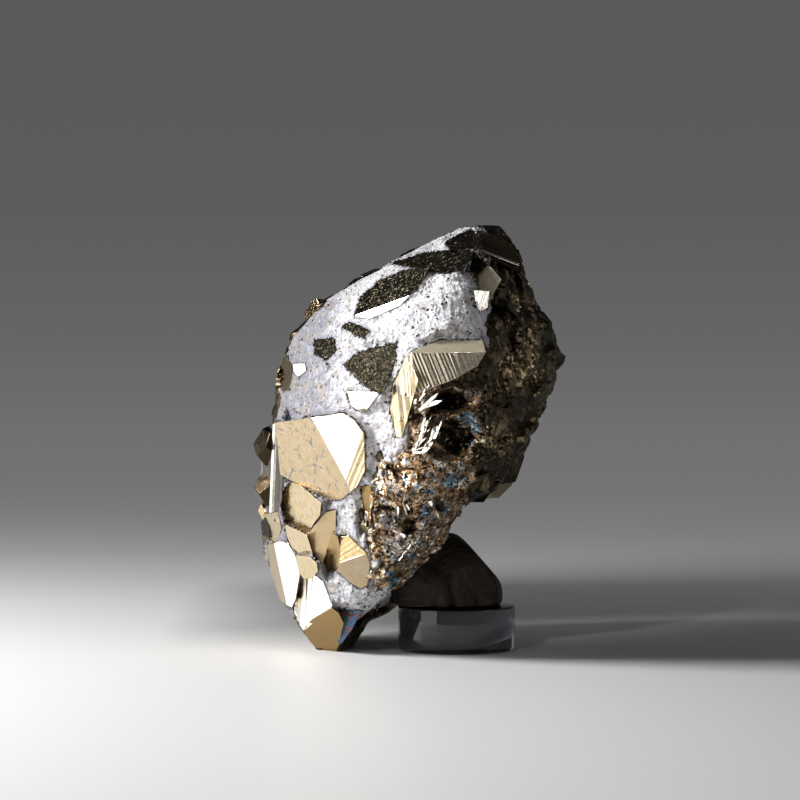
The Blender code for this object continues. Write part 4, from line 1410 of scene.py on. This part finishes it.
# %% Blades
# Each spray of blades: where its first and its last blade start (across, up), the run of the
# blades, how many there are, and the greatest half width.
SPRAYS = (
    ((-9.3, 44.4), (-7.4, 48.8), (1.6, 2.6), 12, 0.26), ((-7.8, 43.6), (-5.0, 48.2), (1.3, 2.1), 14, 0.24),
    ((-5.2, 46.6), (-4.8, 46.9), (1.8, 3.2), 2, 0.36), ((-7.4, 43.9), (-7.0, 44.2), (2.4, 2.0), 2, 0.36),
    ((-9.6, 43.8), (-9.4, 44.2), (2.4, 0.5), 2, 0.3), ((-8.7, 52.6), (-8.3, 53.0), (4.6, 3.4), 2, 0.5),
    ((-9.2, 54.0), (-7.2, 56.6), (1.0, 1.6), 4, 0.25), ((0.4, 59.8), (1.2, 59.2), (0.4, -2.6), 2, 0.45),
    ((-6.4, 33.6), (-4.6, 31.0), (0.8, -2.4), 3, 0.34), ((-12.4, 32.6), (-10.8, 33.0), (0.6, -2.0), 3, 0.3),
    ((-13.6, 27.6), (-11.0, 26.4), (1.4, -0.8), 3, 0.28), ((-12.6, 21.0), (-9.4, 24.6), (1.2, 1.8), 4, 0.2),
)
BLADE_LOOK = (32, 4)
BLADE_SWAY = (17, 18)
BLADE_RISE = 0.8
BLADE_THICK = 4.0
BLADE_EDGE = 0.03
# How far along the blade its two shoulders are, how far round its middle the druse is felt for,
# and how much of a hollow's depth it stands out of.
SHOULDERS = (0.7, 0.8)
FEELER = 1.0
OUT_OF_HOLLOW = 0.8
# How much blades differ: their start, their length, their lean in radians and their width.
BLADE_SHIFT = 0.4
BLADE_LENGTHS = (0.45, 1.1)
BLADE_LEAN = 0.3
BLADE_WIDTHS = (0.4, 1.0)


def blade(start, run, half_width, look):
    """A plate that tapers to a skew point, standing just out of the druse."""
    start, run = Vector(start), Vector(run)
    middle = start + run / 2
    near = [p for p in druse_spots if (Vector((p.x, p.z)) - middle).length < FEELER]
    front = min([p.y - OUT_OF_HOLLOW * hollow_depth(p) for p in near] or [form_point(middle.y, 0.33).y])
    aside = Vector((run.y, -run.x)).normalized() * half_width
    left, right = (start + run * share for share in SHOULDERS)
    planes = walls(sides((start + aside, start - aside, left - aside, start + run, right + aside)))
    point = Vector((middle.x, front - BLADE_RISE, middle.y))
    planes += [(point, facing(*look)), (point + BACKWARD * BLADE_THICK, BACKWARD)]
    bm = polyhedron(planes)
    soften(bm, BLADE_EDGE)
    paint_faces(bm, [FINISHES["bright"]] * len(bm.faces))
    return bm


rng = random.Random(29)
blades = bmesh.new()
for first, last, run, count, half_width in SPRAYS:
    for k in range(count):
        shift = Vector((rng.uniform(-BLADE_SHIFT, BLADE_SHIFT), 0))
        start = Vector(first).lerp(Vector(last), k / (count - 1)) + shift
        turned = Vector(run) * rng.uniform(*BLADE_LENGTHS)
        turned.rotate(Matrix.Rotation(rng.uniform(-BLADE_LEAN, BLADE_LEAN), 2))
        look = [middle + rng.uniform(-sway, sway) for middle, sway in zip(BLADE_LOOK, BLADE_SWAY)]
        add_to(blades, blade(start, turned, half_width * rng.uniform(*BLADE_WIDTHS), look))
piece("blades", blades, polished, "pyrite", crease=12)

# %% [markdown]
# ## Grains in the crust
#
# The quartz is peppered with grains of pyrite. The real stone has more of them along its borders; here they
# are scattered evenly.

# %% Grains in the quartz
GRAINS = 700
GRAIN_SIZES = (0.08, 0.28)
rng = random.Random(8)
grains = sprinkle(rng.sample(CRUST_SPOTS, GRAINS), GRAIN_SIZES, rng, stretch=1.3)
piece("pyrite_grains", grains, massive, "pyrite", crease=12)

# %% [markdown]
# ## The putty
#
# The prop is a lump of mounting putty, kneaded and pressed between the stone and the disc. It
# keeps the fold from the kneading, and is pressed flat where it was pushed.

# %% Putty
PUTTY_CENTRE = Vector((-1.5, 0.5, 14.5))
PUTTY_REACH = Vector((13.4, 11.5, 12.0))
DISC_HEIGHT = 9.5
PUTTY_FLATS = (
    ((0, 0, 24.3), (-60, 80)), ((5.5, -2, 19.4), (-92, 41)), ((9.9, 0, 12), (-84, 2)),
    ((0, -10.4, 14), (-10, 14)), ((2, -8, 20), (0, 40)), ((4, 10.2, 16), (200, 20)),
)
PUTTY_ROUNDING = 2.2
# How boxy the lump is, and how far and how finely it bulges.
PUTTY_BOXY = 0.8
PUTTY_BULGE, PUTTY_FINENESS = 1.6, 0.12
PUTTY_GAP = 0.3
# The fold from the kneading, across the front: where it starts and its run (across, up).
FOLD_TOP = (-2.1, 17.2)
FOLD_RUN = (1.4, -9.0)
FOLD_WIDTH = 0.6
FOLD_DEPTH = 1.1
# The putty's near-black colour is partly painted shade, for the stone's shadow that it sits in.
putty = Finish("putty", Base_Color=(0.018, 0.012, 0.007), Roughness=0.6, Specular_IOR_Level=0.2)
putty.relief(2.6 * putty.grain(6.0, 2.0, warp=0.8) + 0.4 * putty.grain(2.0, 3.0))

lump = bmesh.new()
bmesh.ops.create_icosphere(lump, subdivisions=6, radius=1.0)
flats = [(Vector(point), facing(*look)) for point, look in PUTTY_FLATS]
flats.append((Vector((0, 0, DISC_HEIGHT + PUTTY_GAP)), DOWN))
for v in lump.verts:
    boxed = Vector([math.copysign(abs(c) ** PUTTY_BOXY, c) for c in v.co])
    spot = PUTTY_CENTRE + Vector([a * b for a, b in zip(boxed, PUTTY_REACH)])
    spot += boxed * PUTTY_BULGE * noise.noise(spot * PUTTY_FINENESS)
    for point, outward in flats:
        over = (spot - point).dot(outward)
        if over > -PUTTY_ROUNDING:
            rise = (over + PUTTY_ROUNDING) / PUTTY_ROUNDING
            spot -= outward * PUTTY_ROUNDING * (rise - math.tanh(rise))
    fold_x = FOLD_TOP[0] + FOLD_RUN[0] * (spot.z - FOLD_TOP[1]) / FOLD_RUN[1]
    aside = spot.x - fold_x
    if spot.y < PUTTY_CENTRE.y:
        lip = 0.5 * ease(-aside, 0.0, 0.5) * ease(-aside, 6.0, 0.5)
        groove = FOLD_DEPTH * math.exp(-((aside / FOLD_WIDTH) ** 2))
        spot.y += (groove - lip) * ease(FOLD_TOP[1] + 1.5 - spot.z, 0.0, 3.0)
    v.co = spot
piece("putty_lump", lump, putty, "mounting_putty", crease=60)

# %% [markdown]
# ## The clear disc
#
# The disc is turned acrylic with a small chamfer on both rims. The table's light comes
# through it, bent by acrylic's index of refraction. Its dark tint is painted shade, for the
# stone's shadow that the disc sits in.

# %% Disc
DISC_RADIUS = 12.7
CHAMFER = 0.35
# Painted shade: the clear acrylic is tinted dark grey.
acrylic = Finish(
    "acrylic_painted_shade", Base_Color=(0.10, 0.10, 0.115), Roughness=0.02, IOR=1.49, Transmission_Weight=1.0
)
disc = bmesh.new()
bmesh.ops.create_cone(
    disc, cap_ends=True, segments=192, radius1=DISC_RADIUS, radius2=DISC_RADIUS, depth=DISC_HEIGHT
)
bmesh.ops.translate(disc, vec=(0, 0, DISC_HEIGHT / 2), verts=disc.verts)
rims = [e for e in disc.edges if any(len(f.verts) > 4 for f in e.link_faces)]
bmesh.ops.bevel(disc, geom=rims, offset=CHAMFER, segments=3, profile=0.5, affect="EDGES", material=-1)
piece("disc", disc, acrylic, "acrylic_disc")
